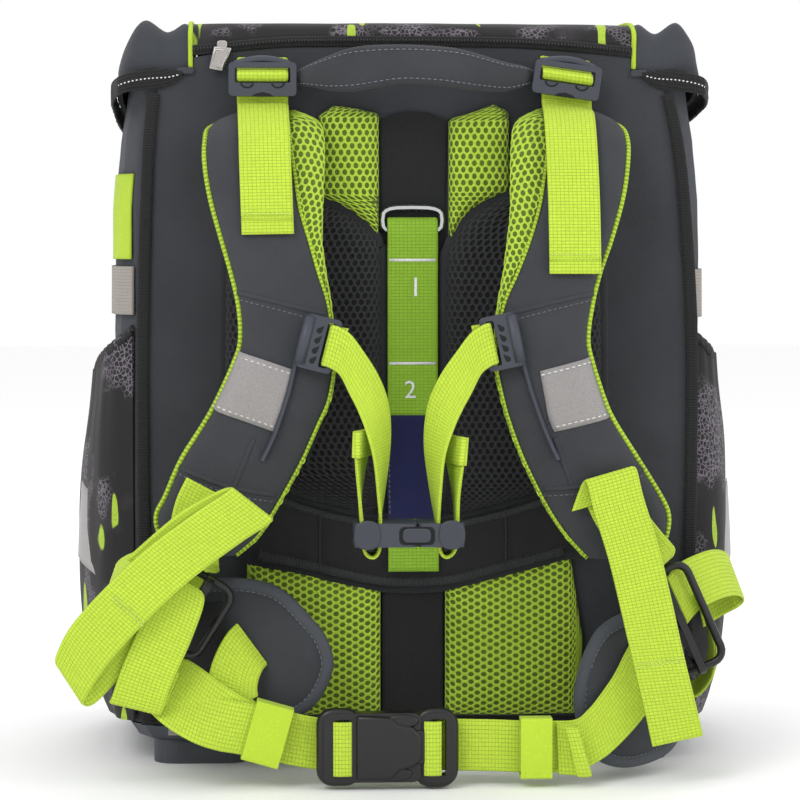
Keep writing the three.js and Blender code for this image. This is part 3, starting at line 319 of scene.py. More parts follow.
def at_length(points, table, want):
    """The point and direction that far along a line of points."""
    want = min(max(want, 0), table[-1])
    i = 0
    while i < len(table) - 2 and table[i + 1] < want:
        i += 1
    step = points[i + 1] - points[i]
    t = (want - table[i]) / max(table[i + 1] - table[i], 1e-9)
    return points[i] + step * t, step.normalized()


# Sections of a stitch: share of its length, lift and width
STITCH_SECTIONS = ((0, -0.3, 0.6), (0.2, 1, 1), (0.8, 1, 1), (1, -0.3, 0.6))


def stitches(name, lines, material, stitch=2.6, gap=1.5, radius=0.32, out=Vector((0, -1, 0))):
    """Rows of thread: each line is a list of points on the cloth, and out points away from it."""
    verts = []
    faces = []
    for points in lines:
        table = lengths(points)
        at = gap / 2
        while at + stitch <= table[-1]:
            a, step = at_length(points, table, at)
            b, _ = at_length(points, table, at + stitch)
            side = step.cross(out).normalized() * radius * MM
            up = out * radius * 0.8 * MM
            base = len(verts)
            for share, lift, wide in STITCH_SECTIONS:
                middle = a + (b - a) * share + up * lift
                verts += [middle - side * wide, middle + up * 0.7, middle + side * wide, middle - up]
            for r in range(3):
                for k in range(4):
                    c = base + r * 4 + k
                    d = base + r * 4 + (k + 1) % 4
                    faces.append((c, d, d + 4, c + 4))
            faces.append((base, base + 1, base + 2, base + 3))
            faces.append((base + 12, base + 13, base + 14, base + 15))
            at += stitch + gap
    return make(name, verts, faces, None, material)


def between(table, want):
    """The two neighbours in a rising table round a value, and the share of the way between them."""
    low, high = 0, len(table) - 1
    while high - low > 1:
        half = (low + high) // 2
        if table[half] <= want:
            low = half
        else:
            high = half
    return low, high, (want - table[low]) / max(table[high] - table[low], 1e-9)


# Millimetres either side of a spot between which a skin's slope is read
SKIN_STEP = 0.8


class Skin:
    """A surface over open lines of points, read by millimetres across and along."""

    def __init__(self, lines):
        self.lines = lines
        self.tables = [lengths(line) for line in lines]
        self.along = lengths([line[len(line) // 2] for line in lines])
        self.side = 1
        wide, tall = self.tables[len(lines) // 2][-1], self.along[-1]
        p, normal = self.normal(wide / 2, tall / 2)
        ends = (self.at(0, tall / 2)[0] + self.at(wide, tall / 2)[0]) / 2
        self.side = 1 if normal.dot(p - ends) > 0 else -1

    def line_point(self, r, u):
        table = self.tables[r]
        line = self.lines[r]
        u = min(max(u, 0), table[-1])
        low, high, t = between(table, u)
        return line[low].lerp(line[high], min(t, 1))

    def at(self, u, v):
        v = min(max(v, 0), self.along[-1])
        low, high, t = between(self.along, v)
        wide = self.tables[low][-1] * (1 - t) + self.tables[high][-1] * t
        return self.line_point(low, u).lerp(self.line_point(high, u), t), wide

    def normal(self, u, v):
        """A point and the direction out of the form there."""
        p, _ = self.at(u, v)
        across = self.at(u + SKIN_STEP, v)[0] - self.at(u - SKIN_STEP, v)[0]
        along = self.at(u, v + SKIN_STEP)[0] - self.at(u, v - SKIN_STEP)[0]
        return p, across.cross(along).normalized() * self.side


# Corners of a hole of the net, and its rings: share of the pitch and drop in millimetres, the last one given
NET_CORNERS = 12
NET_RINGS = ((0.41, 0.12), (0.35, 0.42))
NET_LAST = 0.33


def spacer_net(name, skin, material, pitch=NET_PITCH, margin=0.8, deep=0.75, first=0.8):
    """Knitted mesh with rounded six-sided holes laid over a skin."""
    verts = []
    faces = []
    uvs = []
    row_step = pitch * math.sqrt(3) / 2
    rows = int(skin.along[-1] / row_step)
    for r in range(rows + 1):
        v0 = (r + 0.5) * row_step
        if v0 > skin.along[-1] - margin:
            continue
        _, wide = skin.at(0, v0)
        offset = pitch / 2 if r % 2 else 0
        columns = int(wide / pitch) + 1
        for c in range(columns):
            u0 = offset + (c + 0.5) * pitch
            if u0 > wide - margin or u0 < first:
                continue
            _, normal = skin.normal(u0, v0)
            base = len(verts)
            for k in range(NET_CORNERS):
                a = (k + 1) / NET_CORNERS * math.tau
                reach = pitch / math.sqrt(3) * (1 if k % 2 else 0.866)
                edge, _ = skin.at(u0 + math.sin(a) * reach, v0 + math.cos(a) * reach)
                verts.append(edge)
                uvs.append((u0, v0))
            for share, drop in (*NET_RINGS, (NET_LAST, deep)):
                for k in range(NET_CORNERS):
                    a = (k + 1) / NET_CORNERS * math.tau
                    reach = pitch * share
                    p, _ = skin.at(u0 + math.sin(a) * reach * 0.9, v0 + math.cos(a) * reach * 1.1)
                    verts.append(p - normal * drop * MM)
                    uvs.append((u0, v0))
            for ring in range(len(NET_RINGS) + 1):
                for k in range(NET_CORNERS):
                    a = base + ring * NET_CORNERS + k
                    b = base + ring * NET_CORNERS + (k + 1) % NET_CORNERS
                    faces.append((a, b, b + NET_CORNERS, a + NET_CORNERS))
    ob = make(name, verts, faces, uvs, material)
    bm = bmesh.new()
    bm.from_mesh(ob.data)
    bmesh.ops.remove_doubles(bm, verts=bm.verts, dist=0.25 * MM)
    bmesh.ops.recalc_face_normals(bm, faces=bm.faces)
    bm.to_mesh(ob.data)
    bm.free()
    return ob


# Tables of the model, in shares of the named sizes
BODY_OUTLINE = [
  [0, 1.7], [45, 1.7], [84, 1.7], [91.5, 4], [96.5, 10], [99.2, 25], [100, 45], [99.5, 65], [97, 82],
  [91, 94], [80, 100], [45, 102], [0, 102],
]
BODY_HEIGHTS = [
  [SHELL_LOW, 0.955], [7.5, 0.985], [14, 1], [50, 1], [76, 0.995], [84, 0.975], [89, 0.955],
  [92.4, 0.945],
]
BINDING = {
  "left": [
    [-85, -3, 89.9], [-87, -3, 80], [-88.6, -3, 60], [-88.8, -3, 40], [-88.2, -3, 20], [-87.8, -3, 5.8],
  ],
  "right": [
    [84, -3, 89.9], [88.6, -3, 80], [92.2, -3, 60], [92.4, -3, 40], [91.6, -3, 20], [91, -3, 5.8],
  ],
}
LID_ROWS = [
  [72, 0.4, 97, 95.6], [72, 0.9, 98.2, 97], [72.1, 4, 99.3, 98.9], [72.2, 14, 99.8, 99.5],
  [72.2, 45, 100, 99.9], [72.2, 80, 99.4, 99], [72.6, 95, 97, 96.6], [74.4, 103.8, 92.8, 92.6],
  [76, 105.6, 86.8, 86.8], [82, 106.2, 80, 80], [90, 106.4, 70, 70], [91, 106.6, 57, 57],
  [88, 106.6, 48, 49.5], [78, 106.5, 44.5, 47],
]
LID_COLUMNS = [-1, -0.8, -0.5, 0, 0.5, 0.8, 1]
WING = [
  [
    [72.8, 0.6, 93.2], [76, 0.4, 93.1], [80.5, 0.4, 93.1], [86, 0.4, 93.2], [91, 1.5, 92.9],
    [94.6, 4, 92.5], [96.8, 9, 91.6],
  ],
  [
    [72.8, 0.3, 95.8], [75, 0.2, 96], [80.5, 0.8, 95.4], [86.6, 0.2, 96.4], [91.6, 0.8, 95.6],
    [95.2, 5, 93.6], [97.4, 13, 91.2],
  ],
  [
    [72.8, 0.8, 98.2], [74.8, 1.5, 99], [80.5, 3, 97.9], [87.4, 3, 99.6], [92.6, 4, 97.4],
    [95.6, 9, 94.4], [97.6, 19, 90.4],
  ],
  [
    [72.8, 12, 99.5], [76, 12, 99.2], [81, 12, 98.2], [87.2, 13, 99], [92.8, 14, 97.2],
    [96.8, 20, 93.6], [97.8, 31, 89.4],
  ],
  [
    [72.8, 45, 99.9], [78, 45, 99.7], [83, 45, 99.2], [88.5, 45, 98.4], [94, 46, 96], [96.8, 47, 92.6],
    [97.9, 50, 88.8],
  ],
  [
    [73, 82, 98.9], [78, 82, 98.8], [83, 82, 98.3], [88.5, 82, 97], [93.4, 82, 94.8], [95.8, 81, 91.6],
    [97.2, 80, 88.2],
  ],
  [
    [74.4, 98.4, 95.4], [78, 98.6, 94.8], [83, 98.8, 94], [87.6, 98.4, 92.8], [91, 97, 91],
    [93.8, 94.6, 89.2], [95.4, 91.4, 87.2],
  ],
  [
    [77.4, 105.4, 88], [79.8, 105, 87], [82.6, 104.6, 86], [85.2, 103.8, 85], [87.6, 102.6, 84.8],
    [90.4, 101, 85], [92.8, 99, 85.6],
  ],
]
WING_HEM = [
  [75.5, -3, 92.9, 92.1], [80, -3, 93.2, 90.9], [87, -3.4, 93.3, 90.4], [93.6, -3, 92.6, 90.1],
  [97.4, 3.5, 92, 89.4], [98.9, 11, 91.4, 88.6], [98.9, 20, 90.8, 88], [98.9, 31, 90.2, 87.4],
  [98.9, 46, 89.6, 86.8], [98.8, 62, 89.2, 86.4], [98.2, 80, 88.6, 85.8], [96.8, 92.6, 87.6, 84.8],
  [94.2, 100.6, 86.2, 83.4],
]
POCKET_BULGE = 18
POCKET_PROFILE = [
  [0, 0.12], [0.06, 0.45], [0.16, 0.78], [0.34, 0.98], [0.55, 1], [0.75, 0.88], [0.9, 0.66], [1, 0.5],
]
POCKET_DEPTHS = [4, 10, 25, 36, 48, 60, 72, 82, 91]
POCKET_LOW = 6
POCKET_MOUTH_BACK = 59
POCKET_MOUTH_FRONT = 44
SIDE_WEB_HEIGHT = { "left": 63.8, "right": 63.4 }
SIDE_WEB_WIDTH = 24
SIDE_DEPTHS = [4, 10, 25, 45, 48]
FIN = {
  "left": [
    [-86.5, -6.2, 12, 21], [-85, -26, 10.4, 22.6], [-81, -42, 8.6, 24.4], [-74, -58, 7.4, 25.6],
    [-61, -76, 6.9, 26.5], [-50, -84, 7, 26.1], [-43, -88, 7.8, 24.7], [-36.3, -92, 9.4, 21.9],
    [-32, -92, 11.6, 19.7], [-29.4, -92, 14.4, 17],
  ],
  "right": [
    [88, -5, 8, 20], [86.5, -26, 4.6, 21.8], [82, -50, 2.6, 22.4], [75, -70, 1.7, 22.4],
    [67, -86, 1.5, 21.8], [60, -96, 2.4, 20.4], [56, -100, 4.2, 18], [53.4, -100, 6.6, 15],
    [52, -100, 9.4, 12],
  ],
}
STRAP = {
  "left": [
    [-3.6, -58, 86.3, -36, 86.7, 0.72], [-32, -67.1, 85.2, -30.8, 85.6, 0.71],
    [-52, -68.9, 83.5, -29.9, 82.6, 0.72], [-68, -68.9, 80.2, -30.2, 78.2, 0.76],
    [-78, -67, 75.7, -30.6, 74, 0.8], [-86, -63.5, 70.6, -30.7, 70.4, 0.87],
    [-92, -60.7, 66.7, -29.5, 66.4, 0.915], [-96, -58.1, 62.2, -27.9, 62.5, 0.96],
    [-100, -57.5, 57.7, -27, 58.6, 0.975], [-100, -59.8, 54.6, -26.4, 54.8, 0.98],
    [-100, -65.6, 49.6, -28, 50.2, 0.98], [-98, -70, 46.5, -31.5, 46.8, 0.98],
    [-96, -76.7, 42.2, -36.4, 42.3, 0.98], [-92, -81.6, 37.6, -42.4, 37.8, 0.98],
    [-90, -84.6, 35, -46.4, 35, 0.98], [-88, -83.4, 32.6, -51, 32.2, 0.98],
    [-86, -78, 30.2, -58, 29.8, 0.98],
  ],
  "right": [
    [-4, 60, 86.6, 39, 87, 0.72], [-32, 67.7, 85.4, 33, 85.8, 0.68],
    [-52, 69.5, 83.5, 31.1, 82.6, 0.69], [-68, 68.8, 80.2, 30.4, 77.6, 0.72],
    [-78, 66.8, 75.9, 30, 74.1, 0.75], [-86, 62.8, 70.6, 28.5, 69.6, 0.8],
    [-92, 59.2, 66.7, 27.1, 66, 0.86], [-96, 56.5, 62.6, 25.4, 62.6, 0.93],
    [-100, 54.8, 57.9, 24.2, 58.6, 0.97], [-100, 56.2, 54.8, 23.8, 54.8, 0.98],
    [-100, 60.3, 49.8, 26, 50.3, 0.98], [-98, 63.6, 47, 28.6, 46.7, 0.98],
    [-96, 71.2, 42.2, 32.5, 42.5, 0.98], [-92, 79, 37.2, 38.8, 37.3, 0.98],
    [-90, 81.6, 34.7, 43, 34.4, 0.98], [-88, 80.9, 32, 47.8, 31.8, 0.98],
    [-86, 78, 29.4, 54, 29.2, 0.98],
  ],
}
PADS = {
  "back_left": [
    [-10.6, 36], [-10.4, 66], [-11.3, 69.8], [-14, 71.7], [-18, 73.1], [-24, 74.7], [-31, 75.8],
    [-45, 76.3], [-56, 75], [-61, 70], [-62, 58], [-62, 44], [-58, 39.6], [-50, 38], [-37.3, 36.1],
    [-18, 34.2], [-12, 33.9],
  ],
  "back_right": [
    [10.6, 36], [10.4, 65], [11.5, 69.2], [16, 72.6], [20, 74.2], [24.5, 75.2], [30, 76.4], [45, 76.8],
    [56, 75], [61, 70], [62, 58], [62, 44], [59, 40], [52.7, 38.2], [41.3, 36.6], [16, 33.9],
    [12, 33.9],
  ],
  "yoke_left": [
    [-11.3, 70.3], [-11.3, 87.3], [-18.7, 88], [-26, 88.4], [-31, 87], [-31, 76.2], [-24, 75.1],
    [-18, 73.5], [-14, 72.1],
  ],
  "yoke_right": [
    [11.5, 69.7], [11.5, 86.6], [20, 87.6], [26.5, 88.6], [31.4, 87.6], [31.4, 77], [24.5, 75.7],
    [20, 74.7], [16, 73.1],
  ],
  "lumbar_left": [
    [-54.7, 28.1], [-38, 26.5], [-24.7, 25.2], [-10.7, 24.1], [-10.7, 7.3], [-33, 7.1], [-54, 7.3],
    [-56, 16],
  ],
  "lumbar_right": [
    [10.3, 24.1], [27.3, 25.8], [40, 27.2], [52, 28.5], [56.4, 16.8], [54, 7], [30, 6.9], [10.3, 7],
  ],
}
BAND_OUTLINE = [
  [-55.5, 38], [-50, 37.6], [-37.3, 35.7], [-18, 33.8], [0, 33.1], [16, 33.5], [41.3, 36.2],
  [52.7, 37.8], [55.5, 38.4], [55.5, 29.2], [50.7, 28.7], [27.3, 26.2], [9.3, 24.5], [-8.7, 24.4],
  [-24.7, 25.6], [-38, 27], [-54.7, 28.5],
]
ADJUSTER = [
  [-9, 73.4], [-14.5, 72.9], [-17, 71.4], [-16.5, 66], [-19, 40], [-25, 36], [-31, 33], [-31.4, 26.6],
]
RING = { "x": -0.4, "z": 73.2, "y": -9.2, "halfWidth": CENTRE_WEB * 0.584, "halfHeight": 6.2 }
HANDLE = [
  [-39, -3.6, 91, 92.6], [-34, -24, 90.7, 93.6], [-27, -42, 90, 94.8], [-19, -56, 89.9, 95.8],
  [-5, -64, 90.8, 96], [8, -60, 90.6, 95.8], [15.5, -54, 90.2, 95.4], [28, -34, 90, 94.1],
  [35, -20, 90.8, 93.6], [39.6, -3.6, 91.6, 93],
]
LIFT = {
  "left": {
    "x": -49.4, "tilt": 0, "route": [
      [-49.4, -1.9, 94.6, 0, 0], [-49.4, -10, 93.8, 0, 0], [-49.4, -18, 92.9, 0, 0],
      [-49.4, -26, 92.75, 0, 0], [-49.4, -30.4, 92.15, 0, 0], [-49.4, -26, 91.6, 0, 0],
      [-49.4, -18, 91.3, 0, 0], [-49.4, -16.8, 90, 0, 0], [-49.4, -19, 88.7, 0, 0],
      [-49.3, -27, 88.2, 0, 0], [-49.2, -47, 86.8, 0, 0], [-49, -67, 84.5, 0, 0],
      [-48.8, -82.6, 81, 1, 0], [-48.4, -94.4, 76, 1, 0], [-48, -101, 71.3, 1, 0],
    ], "z": 92.2,
  },
  "right": {
    "x": 50, "tilt": -8, "route": [
      [50, -1.9, 94.6, -6, 0], [50, -10, 93.8, -8, 0], [50, -18, 92.9, -8, 0], [50, -26, 92.75, -8, 0],
      [50, -30.4, 92.15, -8, 0], [50, -26, 91.6, -8, 0], [50, -18, 91.3, -8, 0], [50, -16.2, 90, -8, 0],
      [50, -19, 88.5, -7, 0], [49.9, -27, 88, -5, 0], [49.7, -49, 87, 0, 0], [49.5, -69, 84.8, 0, 0],
      [49.5, -85, 81, 0, 0], [49.6, -97.5, 76, 0, 0], [49.7, -105, 70.6, 0, 0],
      [49.7, -109, 66.2, 0, 0],
    ], "z": 92.2,
  },
}
CHEST = {
  "left": [
    [-24, -114.6, 56.6, 77, 0], [-27, -114.8, 56.8, 76, 0], [-29, -116.4, 57, 76, 0],
    [-29.5, -121.4, 57.05, 76, 0], [-28.9, -126.2, 57.05, 76, 0], [-27, -128.8, 56.8, 76, 0],
    [-23.8, -131.6, 55.9, 74, 0], [-20.2, -136, 53.6, 66, 6], [-16.6, -138, 51, 54, 22],
    [-14, -140, 48, 36, 40], [-12.6, -143, 43.6, 16, 62], [-12.8, -148, 38, 6, 80],
    [-13.2, -151, 34.4, 0, 90], [-13.6, -151, 31.4, 0, 90], [-15.6, -151, 30.4, 0, 90],
    [-18.2, -151, 31.2, 0, 90], [-18.9, -151, 34.4, 0, 90], [-19.4, -148, 38, 2, 86],
    [-18.8, -142, 43, 4, 70], [-17.2, -138, 46.4, 6, 55],
  ],
  "right": [
    [17.8, -114.6, 56.9, 103, 0], [20.8, -114.8, 57.1, 102, 0], [22.8, -116.4, 57.2, 102, 0],
    [23.3, -121.4, 57.28, 102, 0], [22.7, -126.2, 57.28, 102, 0], [20.8, -128.8, 57, 103, 0],
    [17.4, -131.6, 56, 106, 0], [13.6, -136, 53.7, 114, 6], [9.4, -138, 51, 126, 22],
    [6.2, -140, 48, 144, 40], [4.2, -143, 43.6, 164, 62], [4.4, -148, 38, 174, 80],
    [4.9, -151, 34.4, 180, 90], [5.3, -151, 31.4, 180, 90], [7.4, -151, 30.4, 180, 90],
    [10.1, -151, 31.4, 180, 90], [10.8, -151, 34.4, 180, 90], [10.8, -148, 38, 178, 86],
    [10.6, -142, 42, 176, 70], [10.2, -138, 45.6, 174, 55],
  ],
}
HIP = {
  "left": [
    [-53.4, -94.4, 18.2, -54, 0], [-55.6, -104, 17.4, -48, 0], [-58, -111, 15.6, -38, 0],
    [-59.4, -115, 13.4, -20, 0], [-59.8, -118, 10.6, 20, 0], [-58, -119.6, 8.9, 55, 0],
    [-54.8, -120.6, 8.0, 70, 0], [-50, -121, 7.4, 74, 0], [-44, -121.6, 6.7, 76, 0],
    [-38, -121, 6.1, 82, 0], [-31, -119.4, 5.6, 88, 0], [-26.6, -120.6, 5.5, 90, 0],
    [-24.8, -125, 5.5, 90, 0], [-24.7, -131, 5.5, 90, 0],
  ],
  "right": [
    [5.4, -131, 5.5, 90, 0], [5.4, -125, 5.5, 90, 0], [7.2, -120.6, 5.5, 90, 0],
    [11.6, -119.4, 5.4, 90, 0], [24, -121, 5.3, 90, 0], [34, -123, 5.15, 90, 0],
    [42, -124.6, 5.15, 90, 0], [50, -124.4, 5.3, 92, 0], [56, -121, 6.6, 106, 0],
    [61, -116, 8.4, 116, 0], [67.4, -110, 11.4, 128, 0], [71.8, -104, 14.2, 134, 6],
    [76.2, -96.4, 17, 138, 14],
  ],
}
HIP_TAIL = {
  "left": [
    [-50, -133, 7.4, 74, 0], [-56, -133.6, 8, 73, 2], [-62, -135, 8.5, 74, 10],
    [-69.5, -134, 9.4, 72, 24], [-77, -128, 10.9, 64, 34], [-82, -119, 12.6, 58, 34],
    [-84.4, -113.6, 14, 56, 34], [-83, -109, 14.8, 56, 34], [-79, -115.6, 14.2, 58, 28],
    [-73.6, -123, 12.8, 60, 18], [-67.2, -127.6, 10.9, 64, 8], [-61, -128.6, 9.3, 68, 2],
    [-55.6, -127.4, 8.1, 73, 0], [-50, -127.4, 7.4, 74, 0],
  ],
  "right": [
    [43.8, -128.6, 5, 92, 0], [47.8, -133, 4.9, 98, 0], [50.8, -136, 4.8, 104, 0],
    [51.8, -140, 4.8, 106, 0], [50.2, -143, 4.8, 106, 0], [47.8, -142.6, 4.8, 104, 0],
  ],
}
LOWER = {
  "left": [
    [-66.6, -106.6, 38.5, -28, 0], [-70, -107.6, 35.6, -29, 0], [-71.6, -108.4, 32.4, -26, 4],
    [-70.4, -112, 29.8, -24, 30], [-67.4, -108, 28.4, -30, 60], [-66, -105.6, 27.8, -32, 76],
  ],
  "right": [
    [60.6, -106.6, 38, 14, 0], [64.6, -106.8, 34.6, 15, 0], [69.6, -107.6, 31.8, 18, 4],
    [74.4, -107.6, 29.6, 22, 14], [77.4, -104, 28.3, 30, 42], [78.6, -88, 28.2, 24, 78],
  ],
}
TAIL = {
  "left": [
    [-86, -148, 28.2, -36, 0], [-70, -152, 33.8, -37, 0], [-58, -153, 36.6, -38, 0],
    [-53.4, -156, 37.2, -38, 0], [-55.6, -160, 36.4, -38, 0], [-64, -162, 34.2, -38, 0],
    [-80, -164, 29.4, -39, 0], [-94, -162, 24, -40, 0], [-104, -158, 19.4, -46, 0],
    [-109.6, -152, 15.6, -56, 0], [-110.4, -146, 14.2, -58, 6], [-107, -142, 14.4, -54, 10],
    [-99, -142, 18, -40, 6], [-90, -140, 22.4, -32, 4], [-82, -138, 25.8, -32, 2],
    [-76.6, -139, 27.4, -32, 0], [-75.6, -143, 26, -30, 0], [-79.6, -146, 21.4, -28, 0],
    [-86, -147, 15.6, -22, 0], [-89.4, -144, 11.6, -16, 0], [-90.2, -138, 11, -14, 0],
    [-88, -134.6, 12.6, -18, 0], [-84, -135, 16.6, -24, 0],
  ],
  "right": [
    [56.6, -111.2, 36.4, 16, 0], [58.4, -113.4, 38.6, 16, 0], [59.8, -119, 40.2, 16, 0],
    [61, -125, 40, 16, 0], [63, -128, 36.6, 16, 0], [67.6, -133, 30.4, 14, 0], [71.4, -136, 24, 10, 0],
    [75, -137, 17.6, 4, 0], [79.6, -137, 10, 6, 0], [81.8, -137, 6, 12, 0],
  ],
}
ANCHOR = {
  "left": [
    [-71.6, -106, 24.7, 58, 0], [-78.6, -97, 26.4, 58, 0], [-87, -74, 27.2, 60, 0],
    [-94.6, -44, 26.6, 64, 0], [-99.6, -12, 24.8, 70, 0], [-99, 2.8, 22.8, 76, 0],
    [-96, 3.6, 21.4, 80, 0],
  ],
  "right": [
    [83.7, -88, 23.4, 114, 0], [89, -74, 25.2, 116, 0], [98.6, -48, 26.3, 114, 0],
    [104.6, -24, 26, 112, 0], [107, -4, 24.8, 110, 0], [101.6, 2.6, 23, 106, 0],
    [95.8, 3.4, 21.4, 102, 0],
  ],
}


# Materials
def rgb(r, g, b):
    """A screen colour as linear values."""
    out = []
    for v in (r / 255, g / 255, b / 255):
        out.append(v / 12.92 if v <= 0.04045 else ((v + 0.055) / 1.055) ** 2.4)
    return (*out, 1.0)


def shade(colour, factor):
    """A colour made lighter or darker."""
    return (*[min(v * factor, 1) for v in colour[:3]], 1.0)


class Look:
    """A material and short ways to add its nodes."""

    def __init__(self, name, rough, metal=0.0, sheen=0.0, coat=0.0):
        self.material = bpy.data.materials.new(name)
        self.material.use_nodes = True
        self.tree = self.material.node_tree
        self.tree.nodes.clear()
        self.shader = self.add("ShaderNodeBsdfPrincipled", Roughness=rough, Metallic=metal)
        self.shader.inputs["Sheen Weight"].default_value = sheen
        self.shader.inputs["Sheen Roughness"].default_value = 0.5
        self.shader.inputs["Coat Weight"].default_value = coat
        out = self.add("ShaderNodeOutputMaterial")
        self.tree.links.new(self.shader.outputs[0], out.inputs[0])
        coords = self.add("ShaderNodeTexCoord")
        self.uv = coords.outputs["UV"]
        self.object = coords.outputs["Object"]

    def add(self, kind, settings=None, **values):
        node = self.tree.nodes.new(kind)
        for key, value in (settings or {}).items():
            setattr(node, key, value)
        for key, value in values.items():
            socket = node.inputs[int(key[1:])] if key[0] == "_" else node.inputs[key.replace("_", " ")]
            if isinstance(value, bpy.types.NodeSocket):
                self.tree.links.new(value, socket)
            else:
                socket.default_value = value
        return node

    def math(self, operation, a, b=0.0, c=0.0):
        return self.add("ShaderNodeMath", {"operation": operation}, _0=a, _1=b, _2=c).outputs[0]

    def noise(self, size, vector=None, detail=3.0):
        """Noise with features of that many millimetres."""
        node = self.add("ShaderNodeTexNoise", Vector=vector or self.object, Scale=1000 / size, Detail=detail)
        return node.outputs[0]

    def ramp(self, value, low, high, a=0.0, b=1.0):
        return self.add("ShaderNodeMapRange", _0=value, _1=low, _2=high, _3=a, _4=b).outputs[0]

    def mix(self, share, a, b):
        """A colour that share of the way from a to b."""
        node = self.add("ShaderNodeMix", {"data_type": "RGBA"})
        for socket, value in ((node.inputs[0], share), (node.inputs[6], a), (node.inputs[7], b)):
            if isinstance(value, bpy.types.NodeSocket):
                self.tree.links.new(value, socket)
            else:
                socket.default_value = value
        return node.outputs[2]

    def finish(self, colour, height=None, depth=0.3, rough=None):
        """Colour and relief into the shader; depth is in millimetres."""
        self.tree.links.new(colour, self.shader.inputs["Base Color"])
        if rough:
            self.tree.links.new(rough, self.shader.inputs["Roughness"])
        if height:
            bump = self.add("ShaderNodeBump", Strength=1.0, Distance=depth * MM, Height=height)
            self.tree.links.new(bump.outputs[0], self.shader.inputs["Normal"])
        return self.material


def cloth(name, colour, thread=0.85, tone=0.16, rough=0.9, sheen=0.06, depth=0.16, twill=False):
    """Plain or twill weave in millimetres of the piece's own map, with blotches and faint wear."""
    look = Look(name, rough, sheen=sheen)
    parts = look.add("ShaderNodeSeparateXYZ", Vector=look.uv)
    u, v = parts.outputs[0], parts.outputs[1]
    if twill:
        v = look.math("ADD", u, v)
    wave = math.tau / thread
    a = look.math("SINE", look.math("MULTIPLY", u, wave))
    b = look.math("SINE", look.math("MULTIPLY", v, wave))
    weave = look.math("MULTIPLY_ADD", look.math("MULTIPLY", a, b), 0.5, 0.5)
    blotch = look.ramp(look.noise(34, detail=4.0), 0.3, 0.7)
    grain = look.noise(1.1, detail=2.0)
    base = look.mix(blotch, shade(colour, 1 - tone), shade(colour, 1 + tone))
    base = look.mix(look.math("MULTIPLY", weave, 0.35), base, shade(colour, 0.6))
    base = look.mix(look.ramp(grain, 0.55, 0.8, 0.0, 0.3), base, shade(colour, 1.7))
    height = look.math("ADD", weave, look.math("MULTIPLY", grain, 0.8))
    return look.finish(base, height, depth, look.ramp(grain, 0.2, 0.8, rough - 0.06, rough + 0.06))


def webbing(name, colour, row=2.0, brick=1.6):
    """Belt weave: columns of small picks along the belt, with a groove between columns painted darker as
    shade.
    """
    look = Look(name, 0.78, sheen=0.04)
    parts = look.add("ShaderNodeSeparateXYZ", Vector=look.uv)
    turned = look.add("ShaderNodeCombineXYZ", X=parts.outputs[1], Y=parts.outputs[0])
    # The mortar colour paints shade into the grooves between the columns.
    brick = look.add("ShaderNodeTexBrick", {"offset": 0.0}, Vector=turned.outputs[0], Scale=1.0,
                     Mortar_Size=0.14, Mortar_Smooth=0.6, Brick_Width=brick, Row_Height=row,
                     Color1=shade(colour, 1.04), Color2=shade(colour, 0.95), Mortar=shade(colour, 0.77))
    soft = look.noise(26)
    tone = look.mix(look.ramp(soft, 0.35, 0.65, 0.0, 0.35), brick.outputs[0], shade(colour, 0.84))
    fibre = look.noise(0.5)
    tone = look.mix(look.ramp(fibre, 0.5, 0.8, 0.0, 0.25), tone, shade(colour, 1.25))
    height = look.math("SUBTRACT", 1.0, brick.outputs[1])
    height = look.math("ADD", height, look.math("MULTIPLY", fibre, 0.4))
    return look.finish(tone, height, 0.24)


def ribbed(name, colour, pitch=1.3, across=True, rough=0.85, depth=0.35):
    """Grosgrain: fine ribs across the tape, or along it, with painted light on their crests and painted shade
    between them.
    """
    look = Look(name, rough, sheen=0.04)
    parts = look.add("ShaderNodeSeparateXYZ", Vector=look.uv)
    run, other = (1, 0) if across else (0, 1)
    rib = look.math("SINE", look.math("MULTIPLY", parts.outputs[run], math.tau / pitch))
    twist = look.math("SINE", look.math("MULTIPLY", parts.outputs[other], math.tau / (pitch * 0.8)))
    rib = look.math("MULTIPLY_ADD", rib, 0.5, 0.5)
    # Painted light and shade: the rib crests are coloured lighter and the valleys darker.
    tone = look.mix(rib, shade(colour, 0.6), shade(colour, 1.35))
    tone = look.mix(look.ramp(look.noise(20), 0.4, 0.7, 0.0, 0.4), tone, shade(colour, 1.5))
    height = look.math("ADD", rib, look.math("MULTIPLY", twist, 0.2))
    return look.finish(tone, height, depth)


def knit(name, colour, rough=0.8):
    """Fine knitted thread of the spacer mesh."""
    look = Look(name, rough, sheen=0.06)
    loops = look.noise(0.7, detail=2.0)
    tone = look.mix(look.ramp(loops, 0.35, 0.65), shade(colour, 0.78), shade(colour, 1.12))
    tone = look.mix(look.ramp(look.noise(28), 0.35, 0.7, 0.0, 0.35), tone, shade(colour, 0.8))
    return look.finish(tone, loops, 0.25)


def moulded(name, colour, rough=0.45, grain=0.5, depth=0.05, coat=0.0):
    """Moulded plastic with fine grain, scuffs, and edges painted lighter as a highlight."""
    look = Look(name, rough, coat=coat)
    fine = look.noise(grain, detail=2.0)
    scuff = look.ramp(look.noise(9, detail=6.0), 0.52, 0.72)
    # Sharp convex edges, found from pointiness, are painted lighter: a painted highlight.
    edge = look.add("ShaderNodeNewGeometry").outputs["Pointiness"]
    edge_highlight = look.ramp(edge, 0.52, 0.62, 0.0, 0.35)
    tone = look.mix(look.math("MULTIPLY", scuff, 0.25), colour, shade(colour, 1.35))
    tone = look.mix(edge_highlight, tone, shade(colour, 2.2))
    return look.finish(tone, fine, depth, look.ramp(scuff, 0.0, 1.0, rough, rough + 0.15))


